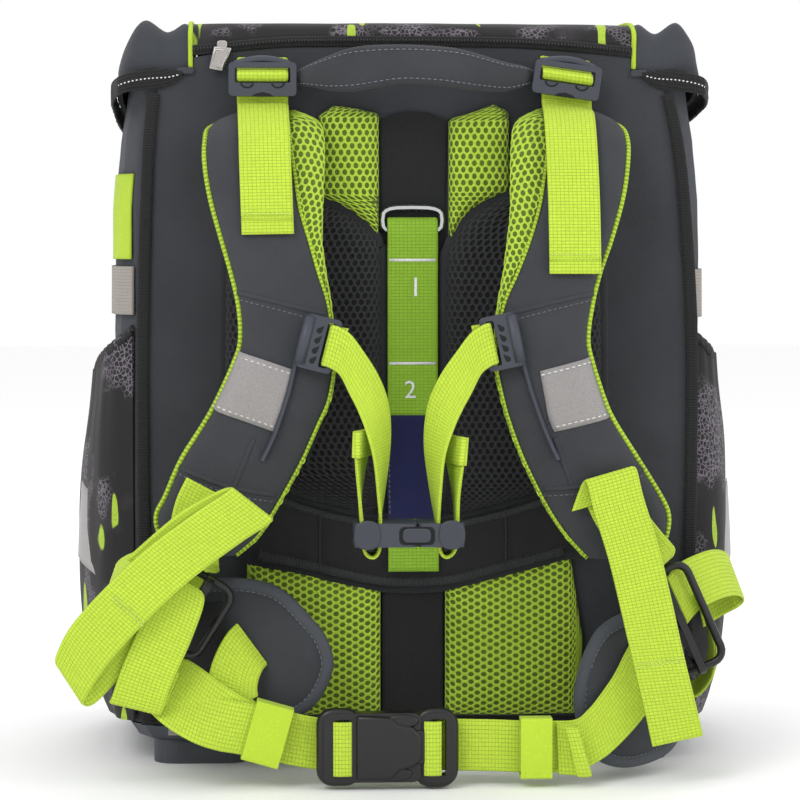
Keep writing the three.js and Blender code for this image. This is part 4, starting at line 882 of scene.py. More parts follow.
def printed(name):
    """Dark printed cloth: patches of pale netting, grey haze and a few lime strokes."""
    look = Look(name, 0.88, sheen=0.04)
    dark = rgb(26, 24, 26)
    cells = look.add("ShaderNodeTexVoronoi", {"feature": "DISTANCE_TO_EDGE"}, Vector=look.object, Scale=430.0)
    lines = look.ramp(cells.outputs[0], 0.05, 0.13, 1.0, 0.0)
    patch = look.ramp(look.noise(46), 0.53, 0.58)
    haze = look.ramp(look.noise(30, detail=5.0), 0.56, 0.7)
    turned = look.add("ShaderNodeMapping", Vector=look.object, Rotation=(0.5, 0.9, 0.4),
                      Scale=(6.0, 1.0, 1.0))
    streak = look.add("ShaderNodeTexNoise", Vector=turned.outputs[0], Scale=22.0, Detail=1.0).outputs[0]
    stroke = look.ramp(streak, 0.665, 0.68)
    grain = look.noise(0.8)
    tone = look.mix(look.math("MULTIPLY", haze, 0.5), dark, rgb(62, 58, 63))
    tone = look.mix(look.math("MULTIPLY", lines, patch), tone, rgb(112, 105, 114))
    tone = look.mix(stroke, tone, rgb(168, 198, 60))
    tone = look.mix(look.ramp(grain, 0.4, 0.7, 0.0, 0.35), tone, rgb(18, 17, 19))
    return look.finish(tone, grain, 0.12)


def beaded(name, colour):
    """Reflective tape of tiny beads in a fine grid."""
    look = Look(name, 0.42, sheen=0.1)
    beads = look.add("ShaderNodeTexVoronoi", Vector=look.object, Scale=1700.0).outputs[0]
    cloud = look.ramp(look.noise(14), 0.35, 0.7)
    tone = look.mix(beads, shade(colour, 1.12), shade(colour, 0.72))
    tone = look.mix(look.math("MULTIPLY", cloud, 0.35), tone, shade(colour, 0.8))
    return look.finish(tone, beads, 0.06)


def metal(name, colour):
    """Brushed metal."""
    look = Look(name, 0.26, metal=1.0)
    brushed = look.noise(0.6, detail=4.0)
    tone = look.mix(brushed, shade(colour, 0.85), shade(colour, 1.1))
    return look.finish(tone, brushed, 0.02, look.ramp(brushed, 0.3, 0.7, 0.2, 0.36))


grey_cloth = cloth("grey_cloth", rgb(54, 56, 61))
wing_cloth = cloth("wing_cloth", rgb(58, 61, 67), thread=1.0, tone=0.1)
light_binding = cloth("light_binding", rgb(72, 75, 82), thread=0.7, tone=0.1)
black_cloth = cloth("black_cloth", rgb(23, 23, 25), thread=0.8)
inner_cloth = cloth("inner_cloth", rgb(36, 37, 41), thread=0.9)
print_cloth = printed("print_cloth")
black_tape = ribbed("black_tape", rgb(21, 21, 23))
band_tape = ribbed("band_tape", rgb(38, 39, 42), depth=0.25)
mesh_edge = ribbed("mesh_edge", rgb(158, 188, 46), pitch=2.1, depth=0.5)
elastic = ribbed("elastic", rgb(19, 19, 21), pitch=1.7, across=False)
lime_web = webbing("lime_web", rgb(186, 214, 56))
centre_web = webbing("centre_web", rgb(134, 178, 36))
grey_web = webbing("grey_web", rgb(160, 153, 146), row=1.0)
lime_tape = cloth("lime_tape", rgb(182, 212, 52), thread=0.6, tone=0.06)
lime_net = knit("lime_net", rgb(176, 206, 60))
lime_foam = cloth("lime_foam", rgb(88, 110, 24), thread=0.7)
black_net = knit("black_net", rgb(34, 35, 38))
black_foam = cloth("black_foam", rgb(12, 12, 13), thread=0.7)
slate = moulded("slate", rgb(47, 50, 59))
glossy = moulded("glossy", rgb(12, 12, 13), rough=0.34, depth=0.02)
base_plastic = moulded("base_plastic", rgb(58, 61, 69), rough=0.55, grain=0.9, depth=0.1)
steel = metal("steel", rgb(196, 198, 200))
zip_metal = metal("zip_metal", rgb(178, 174, 170))
reflector = beaded("reflector", rgb(146, 142, 141))
navy_cloth = cloth("navy_cloth", rgb(13, 20, 74), thread=0.5, tone=0.08, sheen=0.05)
white_thread = knit("white_thread", rgb(226, 228, 226))
grey_thread = knit("grey_thread", rgb(112, 115, 122))
lime_thread = knit("lime_thread", rgb(206, 228, 120))
black_thread = knit("black_thread", rgb(34, 34, 37))

SIDES = (("left", -1), ("right", 1))


def body_scale(z):
    """How far the body's outline is drawn in at a height."""
    rows = BODY_HEIGHTS
    if z <= rows[0][0]:
        return rows[0][1]
    for (z0, s0), (z1, s1) in zip(rows, rows[1:]):
        if z <= z1:
            return s0 + (s1 - s0) * (z - z0) / (z1 - z0)
    return rows[-1][1]


def side_at(y):
    """The side wall's x at a depth, both in shares."""
    rows = BODY_OUTLINE[2:11]
    for (x0, y0), (x1, y1) in zip(rows, rows[1:]):
        if y <= y1:
            return x0 + (x1 - x0) * min(max((y - y0) / (y1 - y0), 0), 1)
    return rows[-1][0]


def on_wall(side, y, z, out, scale=1.0):
    """A point on a side wall, pushed out by so many millimetres."""
    return place(side * (side_at(y) * scale * HALF_WIDTH / 100 + out), y * DEPTH / 100, z * HEIGHT / 100)


def dressed(node, material, size=7, amount=0.4, scale=30, stretch=(1, 1, 1), angle=40, relief=None):
    """Cloth over a model node's own form: finer faces, gentle relief, and a map in millimetres."""
    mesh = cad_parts[node].data.copy()
    bm = bmesh.new()
    bm.from_mesh(mesh)
    bmesh.ops.remove_doubles(bm, verts=bm.verts, dist=0.01 * MM)
    for _ in range(6):
        long_edges = [e for e in bm.edges if e.calc_length() > size * MM]
        if not long_edges:
            break
        bmesh.ops.subdivide_edges(bm, edges=long_edges, cuts=1)
        bmesh.ops.triangulate(bm, faces=[f for f in bm.faces if len(f.verts) > 3])
    bm.normal_update()
    moves = [(v, v.normal.copy()) for v in bm.verts]
    for v, normal in moves:
        push = wrinkle(v.co, amount, scale, stretch)
        if relief:
            push += relief(v.co)
        v.co += normal * push
    layer = bm.loops.layers.uv.new("UVMap")
    for face in bm.faces:
        n = face.normal
        axis = max(range(3), key=lambda i: abs(n[i]))
        for loop in face.loops:
            p = loop.vert.co / MM
            loop[layer].uv = {0: (p.y, p.z), 1: (p.x, p.z), 2: (p.x, p.y)}[axis]
    bm.to_mesh(mesh)
    bm.free()
    ob = link("cloth_" + node, mesh)
    mesh.materials.clear()
    mesh.materials.append(material)
    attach(ob, "root")
    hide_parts(node)
    return sharp(ob, angle)


def finish_node(node, material, bevel=0.4, segments=2):
    """A rigid model node keeps its shape and gets softened edges and its own material."""
    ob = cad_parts[node]
    ob.data.materials.clear()
    ob.data.materials.append(material)
    if bevel:
        soften(ob, bevel, segments)


def edge_distance(outline, x, z):
    """Millimetres from a spot to the nearest edge of an outline."""
    best = 1e9
    for (x0, z0), (x1, z1) in zip(outline, outline[1:] + outline[:1]):
        dx, dz = x1 - x0, z1 - z0
        t = min(max(((x - x0) * dx + (z - z0) * dz) / max(dx * dx + dz * dz, 1e-9), 0), 1)
        best = min(best, math.hypot(x - x0 - dx * t, z - z0 - dz * t))
    return best


def round_outline(outline, steps=4, straight=False):
    """Outline shares as a finely divided closed line in millimetres, smooth or with its corners kept."""
    rows = [(x * HALF_WIDTH / 100, z * HEIGHT / 100) for x, z in outline]
    if straight:
        out = []
        for (x0, z0), (x1, z1) in zip(rows, rows[1:] + rows[:1]):
            out += [(x0 + (x1 - x0) * k / steps, z0 + (z1 - z0) * k / steps) for k in range(steps)]
        return out
    ring = rows[-2:] + rows + rows[:3]
    fine = smooth(ring, steps)
    return [tuple(p) for p in fine[2 * steps:(2 + len(rows)) * steps]]


def span(outline, at, axis):
    """Where a line across an outline enters and leaves it."""
    other = 1 - axis
    hits = []
    for p, q in zip(outline, outline[1:] + outline[:1]):
        if (p[axis] <= at) != (q[axis] <= at):
            t = (at - p[axis]) / (q[axis] - p[axis])
            hits.append(p[other] + (q[other] - p[other]) * t)
    return (min(hits), max(hits)) if len(hits) > 1 else None


# Millimetres inside a cushion's outline where its first and last sections lie
OUTLINE_MARGIN = 0.25


def dome(d, reach):
    """Rise of a padded edge, from 0 at the edge to 1 that many millimetres in."""
    return math.sqrt(max(1 - (1 - min(d / reach, 1)) ** 2, 0))


def cushion(name, outline, axis, rows, columns, height, sink, material, node):
    """Padded form on the back panel read along one axis (0 is x, 1 is z); returns its top as a skin."""
    low = min(p[axis] for p in outline) + OUTLINE_MARGIN
    high = max(p[axis] for p in outline) - OUTLINE_MARGIN
    lines = []
    for r in range(rows + 1):
        at = low + (high - low) * (1 - math.cos(math.pi * r / rows)) / 2
        ends = span(outline, at, axis)
        line = []
        for c in range(columns + 1):
            across = ends[0] + (ends[1] - ends[0]) * (1 - math.cos(math.pi * c / columns)) / 2
            x, z = (at, across) if axis == 0 else (across, at)
            line.append((x, z, height(x, z, edge_distance(outline, x, z))))
        lines.append(line)
    tops = [[place(x, -GAP - h, z) for x, z, h in line] for line in lines]
    rings = []
    us = []
    for line in lines:
        first, last = line[0], line[-1]
        ring = [place(first[0], -GAP, first[1])]
        ring += [place(x, -GAP - max(h - sink, 0.4), z) for x, z, h in line]
        ring.append(place(last[0], -GAP, last[1]))
        rings.append(ring)
        us.append(lengths(ring))
    ob = loft(name, rings, us, material)
    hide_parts(node)
    sharp(ob, 50)
    return Skin(tops)


# Grid on which the search for a spot of a skin starts
SEARCH_ROWS = 60
SEARCH_COLUMNS = 24


def on_skin(skin, spots):
    """Places (u, v) of a skin nearest to front-view spots (x, z in shares)."""
    samples = []
    for i in range(SEARCH_ROWS + 1):
        v = skin.along[-1] * i / SEARCH_ROWS
        _, wide = skin.at(0, v)
        for j in range(SEARCH_COLUMNS + 1):
            u = wide * j / SEARCH_COLUMNS
            p, _ = skin.at(u, v)
            samples.append((p.x, p.z, u, v))
    out = []
    for x, z in spots:
        goal = point(x, 0, z)

        def off(px, pz):
            return (px - goal.x) ** 2 + (pz - goal.z) ** 2

        u, v = min(samples, key=lambda s: off(s[0], s[1]))[2:]
        for step in (2.0, 1.0, 0.5, 0.25):
            around = []
            for i, j in ((i, j) for i in (-1, 0, 1) for j in (-1, 0, 1)):
                p, _ = skin.at(u + i * step, v + j * step)
                around.append((off(p.x, p.z), u + i * step, v + j * step))
            _, u, v = min(around, key=lambda spot: spot[0])
        out.append((u, v))
    return out


def line_on(skin, spots, lift, parts=14):
    """A finely divided line over a skin through front-view spots."""
    uv = on_skin(skin, spots)
    out = []
    fine = [(u0 + (u1 - u0) * k / parts, v0 + (v1 - v0) * k / parts)
            for (u0, v0), (u1, v1) in zip(uv, uv[1:]) for k in range(parts)]
    for spot in fine + uv[-1:]:
        p, normal = skin.normal(*spot)
        out.append(p + normal * lift * MM)
    return out


def patch(name, skin, corners, material, lift=0.5, thick=0.5, parts=10):
    """A flat tape sewn on a skin between four front-view corners."""
    uv = on_skin(skin, corners)
    grid = []
    for i in range(parts + 1):
        t = i / parts
        line = []
        for j in range(parts + 1):
            s = j / parts
            u = (uv[0][0] * (1 - s) + uv[1][0] * s) * (1 - t) + (uv[3][0] * (1 - s) + uv[2][0] * s) * t
            v = (uv[0][1] * (1 - s) + uv[1][1] * s) * (1 - t) + (uv[3][1] * (1 - s) + uv[2][1] * s) * t
            p, normal = skin.normal(u, v)
            line.append(p + normal * lift * MM)
        grid.append(line)
    return flat_sheet(name, grid, thick, material)


# Bag body
def wall_relief(p):
    return wrinkle(p, 0.9, 60, (1, 1, 0.45), 7.0)


dressed("bag_shell", wing_cloth, size=9, amount=0.35, scale=26, relief=wall_relief)
dressed("back_panel", grey_cloth, size=8, amount=0.18, scale=34)
finish_node("base_tray", base_plastic, 1.0, 3)

lid_rows = [[point(half * c, y, middle + (edge - middle) * c * c) for c in LID_COLUMNS]
            for half, y, middle, edge in LID_ROWS]


def lid_relief(p, *_):
    return wrinkle(p, 0.9, 42, (0.7, 1, 1), 3.0)


lid = sheet("lid_cloth", refine(lid_rows, 6, 8), 2.6, -1, print_cloth, lid_relief)
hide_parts("lid")
sharp(lid, 50)

for name, side in SIDES:
    rows = [[point(side * x, y, z) for x, y, z in row] for row in WING]

    def wing_relief(p, *_):
        return wrinkle(p, 0.8, 24, (1, 0.6, 1), side * 5.0)

    wing = sheet("wing_cloth_" + name, refine(rows, 7, 6), 2.6, -side, wing_cloth, wing_relief)
    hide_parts("lid_wing_" + name)
    sharp(wing, 60)

    hem_rows = []
    for x, y, top, low in smooth(WING_HEM, 8):
        hem_rows.append({"a": point(side * x, y, low), "b": point(side * x, y, top), "y": y})

    def hem_profile(row):
        wave = 0.22 * math.sin(row["a"].y / MM * 1.9 + row["a"].x / MM * 1.6)
        h = 1.0 + wave
        return [(0, 0), (0.06, h * 0.7), (0.25, h), (0.5, h * 0.78), (0.75, h), (0.94, h * 0.7), (1, 0),
                (0.94, -h * 0.7), (0.5, -h * 0.8), (0.06, -h * 0.7)]

    rings, us = band_rings(hem_rows, hem_profile)
    hem = loft("hem_" + name, rings, us, elastic)
    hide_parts("wing_hem_" + name)
    dots = [row["a"].lerp(row["b"], 0.5) for row in hem_rows]
    outward = Vector((side * 0.3, -1, 0)).normalized()
    dots = [p + outward * 1.15 * MM for p in dots[2:30]]
    stitches("hem_dots_" + name, [dots], white_thread, 1.0, 1.0, 0.34, out=outward)

    seam = [[x, y, z, 0, 0] for x, y, z in BINDING[name]]
    binding = ribbon("binding_" + name, seam, 6, black_tape, 8, 2, 2)
    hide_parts("back_binding_" + name)

    pocket_rows = []
    for rise, swell in POCKET_PROFILE:
        line = []
        for i, y in enumerate(POCKET_DEPTHS):
            u = i / (len(POCKET_DEPTHS) - 1)
            mouth = POCKET_MOUTH_BACK + (POCKET_MOUTH_FRONT - POCKET_MOUTH_BACK) * u ** 0.8
            z = POCKET_LOW + (mouth - POCKET_LOW) * rise
            bulge = POCKET_BULGE * swell * math.sin(math.pi * u) ** 0.75
            line.append(on_wall(side, y, z, GAP + bulge))
        pocket_rows.append(line)

    def pocket_relief(p, r, c):
        gather = math.sin(p.y / MM * 0.95) * 0.5 + math.sin(p.y / MM * 0.57 + 2.0) * 0.5
        folds = wrinkle(p, 1.4, 30, (1, 1, 0.35), side * 3.0)
        return gather * 0.9 * MM * max(r * 1.6 - 0.6, 0) ** 2 + folds * min(c * 6, 1) * min((1 - c) * 6, 1)

    pocket = sheet("pocket_" + name, refine(pocket_rows, 7, 10), 1.6, side, print_cloth,
                   pocket_relief)
    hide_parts("side_pocket_" + name)
    sharp(pocket, 60)
    rim = [p + Vector((side * (0.9 + 0.35 * math.sin(i * 1.9)), 0, -1.6)) * MM
           for i, p in enumerate(refine(pocket_rows, 4, 14)[-1])]
    tube("pocket_rim_" + name, rim, 3.4, elastic, 10, squeeze=0.42, face=Vector((side, 0, 0)))

    half = SIDE_WEB_WIDTH / 2 / HEIGHT * 100
    middle = SIDE_WEB_HEIGHT[name]
    web_rows = [[on_wall(side, y, z, GAP, body_scale(z)) for y in SIDE_DEPTHS]
                for z in (middle - half, middle, middle + half)]
    side_web = sheet("side_belt_" + name, refine(web_rows, 5, 5), 1.5, side, grey_web)
    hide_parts("side_web_" + name)

    # Piping on the seam between the lid and its corner
    seam_line = [row[0] for row in refine(rows, 6, 2)]
    seam_line = [p + Vector((0, -0.6, 0.5)) * MM for p in seam_line]
    tube("lid_piping_" + name, seam_line, 1.25, lime_tape, 10)

# Sewn tag on the left wall
TAG_HEIGHTS = (68, 71, 75, 79.4)
TAG_DEPTHS = (4.6, 10, 16, 22)
TAG_OUT = 1.9
tag_rows = [[on_wall(-1, y, z, TAG_OUT, body_scale(z)) for y in TAG_DEPTHS] for z in TAG_HEIGHTS]
sheet("side_tag", refine(tag_rows, 5, 5), 1.0, 1, lime_tape)


# Back padding
OUTLINES = {name: round_outline(rows, straight=name[:4] != "back") for name, rows in PADS.items()}
for name, side in SIDES:
    outline = OUTLINES["back_" + name]

    def back_height(x, z, d):
        return 3.4 + 9.6 * dome(d, 11) + 1.6 * min(d / 34, 1) + wrinkle(place(x, 0, z), 0.5, 30) / MM

    skin = cushion("back_cushion_" + name, outline, 1, 54, 30, back_height, 0.9, black_foam,
                   "back_pad_" + name)
    spacer_net("back_net_" + name, skin, black_net)
    rim = [place(x, -GAP - 4.4, z) for x, z in outline]
    tube("back_rim_" + name, rim, 3.2, inner_cloth, 10, closed=True, squeeze=0.5)

    def yoke_height(*spot):
        return 2.6 + 7.6 * dome(spot[2], 8)

    outline = OUTLINES["yoke_" + name]
    skin = cushion("yoke_cushion_" + name, outline, 1, 40, 24, yoke_height, 0.6, lime_foam,
                   "yoke_pad_" + name)
    spacer_net("yoke_net_" + name, skin, lime_net)

    def lumbar_height(x, z, d):
        return 3.4 + 7.6 * dome(d, 16) + wrinkle(place(x, 0, z), 0.8, 36) / MM

    outline = OUTLINES["lumbar_" + name]
    skin = cushion("lumbar_cushion_" + name, outline, 0, 60, 40, lumbar_height, 0.6, lime_foam,
                   "lumbar_pad_" + name)
    spacer_net("lumbar_net_" + name, skin, lime_net)

band_outline = round_outline(BAND_OUTLINE)


def belt_height(x, z, d):
    seams = sum(math.exp(-((x - at) / 1.6) ** 2) for at in (-46.5, 45.2))
    return 4.5 + 8.0 * dome(d, 9) - 1.6 * seams + wrinkle(place(x, 0, z), 0.5, 20, (1, 1, 0.6)) / MM


belt_skin = cushion("lumbar_belt", band_outline, 0, 70, 18, belt_height, 0, black_cloth,
                    "lumbar_band")
tube("belt_rim", [place(x, -GAP - 5.6, z) for x, z in band_outline], 3.4, inner_cloth, 10,
     closed=True, squeeze=0.6)
dressed("lumbar_panel", black_cloth, size=5, amount=0.25, scale=16)
dressed("centre_channel", black_cloth, size=6, amount=0.15, scale=18)
finish_node("adjuster_ring", steel, 0)
route = [[RING["x"], y, z, 0, 0] for y, z in ADJUSTER]
centre = ribbon("centre_belt", route, CENTRE_WEB, centre_web, 6)
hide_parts("adjuster_web")

# Handle
handle_rows = []
for x, y, low, high in smooth(HANDLE, 5):
    end = min(abs(x - HANDLE[0][0]), abs(x - HANDLE[-1][0])) / 6
    handle_rows.append({"a": point(x, y, low), "b": point(x, y, high), "t": 0.45 + 0.55 * min(end, 1)})


def handle_profile(row):
    t = HANDLE_THICK / 2 * row["t"]
    out = []
    for k in range(20):
        a = k / 20 * math.tau
        c, s = math.cos(a), math.sin(a)
        share = 0.5 + 0.49 * math.copysign(abs(c) ** 0.7, c)
        h = t * math.copysign(abs(s) ** 0.6, s)
        out.append((share, h - 0.5 * math.exp(-((share - 0.2) / 0.05) ** 2) * (1 if s > 0 else -1)))
    return out


rings, us = band_rings(handle_rows, handle_profile)
handle = loft("handle", rings, us, grey_cloth)
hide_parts("carry_handle")


# Shoulder straps
STRAP_SKINS = {}
for name, side in SIDES:
    rows = []
    for y, xo, zo, xi, zi, seam in smooth(STRAP[name], 6):
        rows.append({"a": point(xo, y, zo), "b": point(xi, y, zi), "seam": seam})
    turn = 1 if name == "left" else -1
    t = STRAP_THICK / 2

    def cover_line(row):
        low, high = 0.04, row["seam"] - 0.014
        out = []
        for k in range(19):
            w = k / 18
            share = low + (high - low) * (0.5 - 0.5 * math.cos(math.pi * w))
            q = (share - low) / (high - low)
            crown = max(1 - abs(2 * q - 1) ** 3.4, 0) ** 0.55
            end = 0.42 * q if q > 0.5 else 0.15
            h = t * (end + (1.08 - end) * crown)
            p = row["a"].lerp(row["b"], share)
            h += wrinkle(p, 0.5, 17, (1, 1, 0.8), side * 4.0) / MM * crown
            out.append((share, turn * h))
        return out

    def cover_profile(row):
        line = cover_line(row)
        return [(line[0][0], 0)] + line + [(line[-1][0], 0)]

    rings, us = band_rings(rows, cover_profile)
    cover = loft("strap_" + name, rings, us, grey_cloth)
    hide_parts("strap_cover_" + name)
    sharp(cover, 60)
    tops, _ = band_rings(rows, cover_line)
    STRAP_SKINS[name] = Skin(tops)

    def lining_corners(row, inset):
        seam = row["seam"]
        roll = (1 - seam) / 2
        wide = (row["b"] - row["a"]).length / MM
        e = inset / wide
        d = t - inset
        spots = [(e, -GAP), (e, -d * 0.5), (0.1, -d * 0.95), (0.5, -d), (0.9, -d * 0.9), (1 - e, -d * 0.35),
                 (1 - e, d * 0.35), (seam + roll, d * 0.82), (seam + 0.01, d * 0.55)]
        return [(s, turn * h) for s, h in smooth(spots, 4)]

    def foam_profile(row):
        return lining_corners(row, 0.6) + [(row["seam"] + 0.01, -turn * GAP)]

    rings, us = band_rings(rows, foam_profile)
    lining = loft("strap_foam_" + name, rings, us, lime_foam)
    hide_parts("strap_lining_" + name)
    sharp(lining, 60)
    lines, _ = band_rings(rows, lambda row: lining_corners(row, 0))
    spacer_net("strap_net_" + name, Skin(lines), lime_net, margin=0.4, first=5)
    edge, _ = band_rings(rows, lambda row: [(0.022, turn * 0.5), (row["seam"] + 0.004, turn * t * 0.5)])
    tube("strap_piping_" + name, [pair[0] for pair in edge], 1.2, mesh_edge, 8)
    tube("strap_seam_" + name, [pair[1] for pair in edge], 1.0, mesh_edge, 8)


# Webbing, buckles and hip wings
def wing_rows(name):
    """Rows of a padded hip wing, thinner where the wing is narrow."""
    rows = []
    for x, y, low, high in smooth(FIN[name], 5):
        full = min((high - low) / 12, 1)
        rows.append({"a": point(x, y, low), "b": point(x, y, high), "tall": (high - low) * HEIGHT / 100,
                     "t": FIN_THICK * (0.45 + 0.55 * full) / 2})
    return rows


def wing_profile(row):
    out = []
    for k in range(28):
        a = k / 28 * math.tau
        c, s = math.cos(a), math.sin(a)
        share = 0.5 + 0.5 * math.copysign(abs(c) ** 0.75, c)
        out.append((share, row["t"] * math.copysign(abs(s) ** 0.55, s)))
    return out


for name, side in SIDES:
    for node, route, width, material, slot, ribs in (
            ("lift_web", LIFT[name]["route"], WEB, lime_web, "lime_webbing", 11),
            ("chest_web", CHEST[name], CHEST_WEB, lime_web, "lime_webbing", 9),
            ("hip_web", HIP[name], WEB, lime_web, "lime_webbing", 11),
            ("hip_tail", HIP_TAIL[name], WEB, lime_web, "lime_webbing", 11),
            ("lower_web", LOWER[name], WEB, lime_web, "lime_webbing", 11),
            ("lower_tail", TAIL[name], WEB, lime_web, "lime_webbing", 11),
            ("anchor_web", ANCHOR[name], WEB, lime_web, "lime_webbing", 11)):
        belt = ribbon(f"{node}_belt_{name}", route, width, material, 7, WEB_THICK, ribs)
        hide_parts(f"{node}_{name}")
    finish_node("lift_buckle_" + name, slate, 0.6)
    finish_node("chest_slider_" + name, slate, 0.5)
    finish_node("chest_buckle_" + name, slate, 1.0)
    finish_node("chest_rail_" + name, slate, 0)
    finish_node("hip_buckle_" + name, glossy, 1.4, 3)
    finish_node("ladder_lock_" + name, glossy, 0.6)
    finish_node("hip_keeper_" + name, lime_tape, 0.3)

    rings, us = band_rings(wing_rows(name), wing_profile)
    fin = loft("hip_wing_" + name, rings, us, grey_cloth)
    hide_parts("hip_fin_" + name)


# Small pieces
def slab(name, spots, y, thick, material, bevel=0.3):
    """A flat piece facing the viewer: corners (x, z) in millimetres, its front at depth y."""
    verts = [place(x, y + depth, z) for depth in (0, thick) for x, z in spots]
    count = len(spots)
    faces = [tuple(range(count)), tuple(range(2 * count - 1, count - 1, -1))]
    for k in range(count):
        n = (k + 1) % count
        faces.append((k, n, count + n, count + k))
    ob = make(name, verts, faces, [(v.x / MM, v.z / MM) for v in verts], material)
    if bevel:
        soften(ob, bevel, 2, 40)
    return sharp(ob, 50)


def rounded(x0, z0, x1, z1, radius, parts=5):
    """Corners of a rounded rectangle, in millimetres."""
    out = []
    for cx, cz, start in ((x1 - radius, z1 - radius, 0), (x0 + radius, z1 - radius, 90),
                          (x0 + radius, z0 + radius, 180), (x1 - radius, z0 + radius, 270)):
        for k in range(parts + 1):
            a = math.radians(start + 90 * k / parts)
            out.append((cx + math.cos(a) * radius, cz + math.sin(a) * radius))
    return out


def turned(spots, x, z, degrees):
    """Local corners swung by an angle and moved to a spot in millimetres."""
    a = math.radians(degrees)
    return [(x + u * math.cos(a) - w * math.sin(a), z + u * math.sin(a) + w * math.cos(a)) for u, w in spots]


def mm(x, z):
    """Shares of the half width and the height as millimetres."""
    return x * HALF_WIDTH / 100, z * HEIGHT / 100


def front_lines(rows, shares, height):
    """Lines along a band at shares of its width, on whichever face looks at the viewer."""
    pick = []
    for sign in (1, -1):
        rings, _ = band_rings(rows, lambda row: [(share, sign * height(row)) for share in shares])
        pick.append(rings)
    rings = min(pick, key=lambda lines: sum(p.y for ring in lines for p in ring))
    return [[ring[k] for ring in rings] for k in range(len(shares))]


# Zip under the lid with its puller
ZIP = [
  [-72, 95.9], [-59.9, 96.4], [-50.1, 96.8], [-37.1, 97.1], [-4.3, 97.2], [28.6, 97.1], [48.4, 96.7],
  [60, 96.3], [72, 95.8],
]
zip_line = [point(x, -1.4, z - 0.25) for x, z in smooth(ZIP, 8)]
tube("zip_tape", zip_line, 2.6, black_tape, 8, squeeze=0.3)
stitches("zip_coil", [[p + Vector((0, -0.6, 0.2)) * MM for p in zip_line]], black_thread, 1.1, 0.5, 0.75)
puller = [mm(x, z) for x, z in ((-65.1, 96.1), (-59.3, 95.9), (-62.3, 92.8), (-66.8, 93.2))]
slab("zip_puller", puller, -4.6, 1.4, zip_metal, 0.5)
middle_x, middle_z = (sum(p[i] for p in puller) / len(puller) for i in (0, 1))
inner = [((x * 3 + middle_x) / 4, (z * 3 + middle_z) / 4) for x, z in puller]
tube("puller_frame", [place(x, -4.8, z) for x, z in inner], 0.45, zip_metal, 6, closed=True)
slab("zip_slider", rounded(*mm(-64.2, 95.8), *mm(-60.8, 96.9), 1.4), -3.2, 2.2, zip_metal, 0.4)

# Centre webbing: lines, plain numerals and the bare navy label
adjuster = smooth(ADJUSTER, 8)


def web_front(z):
    """Depth of the centre webbing's face at a height in shares, in millimetres."""
    for (y0, z0), (y1, z1) in zip(adjuster, adjuster[1:]):
        if z1 <= z <= z0:
            return (y0 + (y1 - y0) * (z - z0) / min(z1 - z0, -1e-6)) * STANDOFF / 100 - WEB_THICK / 2
    return adjuster[-1][0] * STANDOFF / 100 - WEB_THICK / 2


def on_web(name, x0, x1, low, high, lift, thick, material, parts=12):
    """A thin piece on the centre webbing, from x0 to x1 in millimetres and between two heights."""
    grid = []
    for i in range(parts + 1):
        z = low + (high - low) * i / parts
        grid.append([place(x, web_front(z) - lift, z * HEIGHT / 100) for x in (x0, (x0 + x1) / 2, x1)])
    return flat_sheet(name, grid, thick, material)


for i, z in enumerate((67.9, 54.2)):
    on_web(f"size_line_{i}", -12.2, 10.6, z - 0.18, z + 0.18, 0.25, 0.35, white_thread, 2)
on_web("navy_label", -13.2, 10.2, 33.7, 47.3, 0.9, 0.7, navy_cloth)
for x in (-12.2, 9.2):
    line = [place(x, web_front(z) - 1.0, z * HEIGHT / 100) for z in (34.2, 38, 42, 46.8)]
    stitches(f"label_stitch_{x}", [line], grey_thread, 1.6, 1.0, 0.22)
for text, x, z, size in (("1", -2.6, 63.1, 13.5), ("2", -4.9, 49.6, 12.2)):
    curve = bpy.data.curves.new("numeral_" + text, "FONT")
    curve.body = text
    curve.size = size * MM
    curve.extrude = 0.15 * MM
    loose = link("loose_" + text, curve)
    bpy.context.view_layer.update()
    mesh = bpy.data.meshes.new_from_object(loose.evaluated_get(bpy.context.evaluated_depsgraph_get()))
    bpy.data.objects.remove(loose)
    foot = place(x, web_front(z + 1.5) - 0.3, z * HEIGHT / 100)
    mesh.transform(Matrix.Translation(foot) @ Matrix.Rotation(math.pi / 2, 4, "X"))
    mesh.materials.clear()
    mesh.materials.append(white_thread)
    numeral = link("numeral_" + text, mesh)
    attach(numeral, "root")

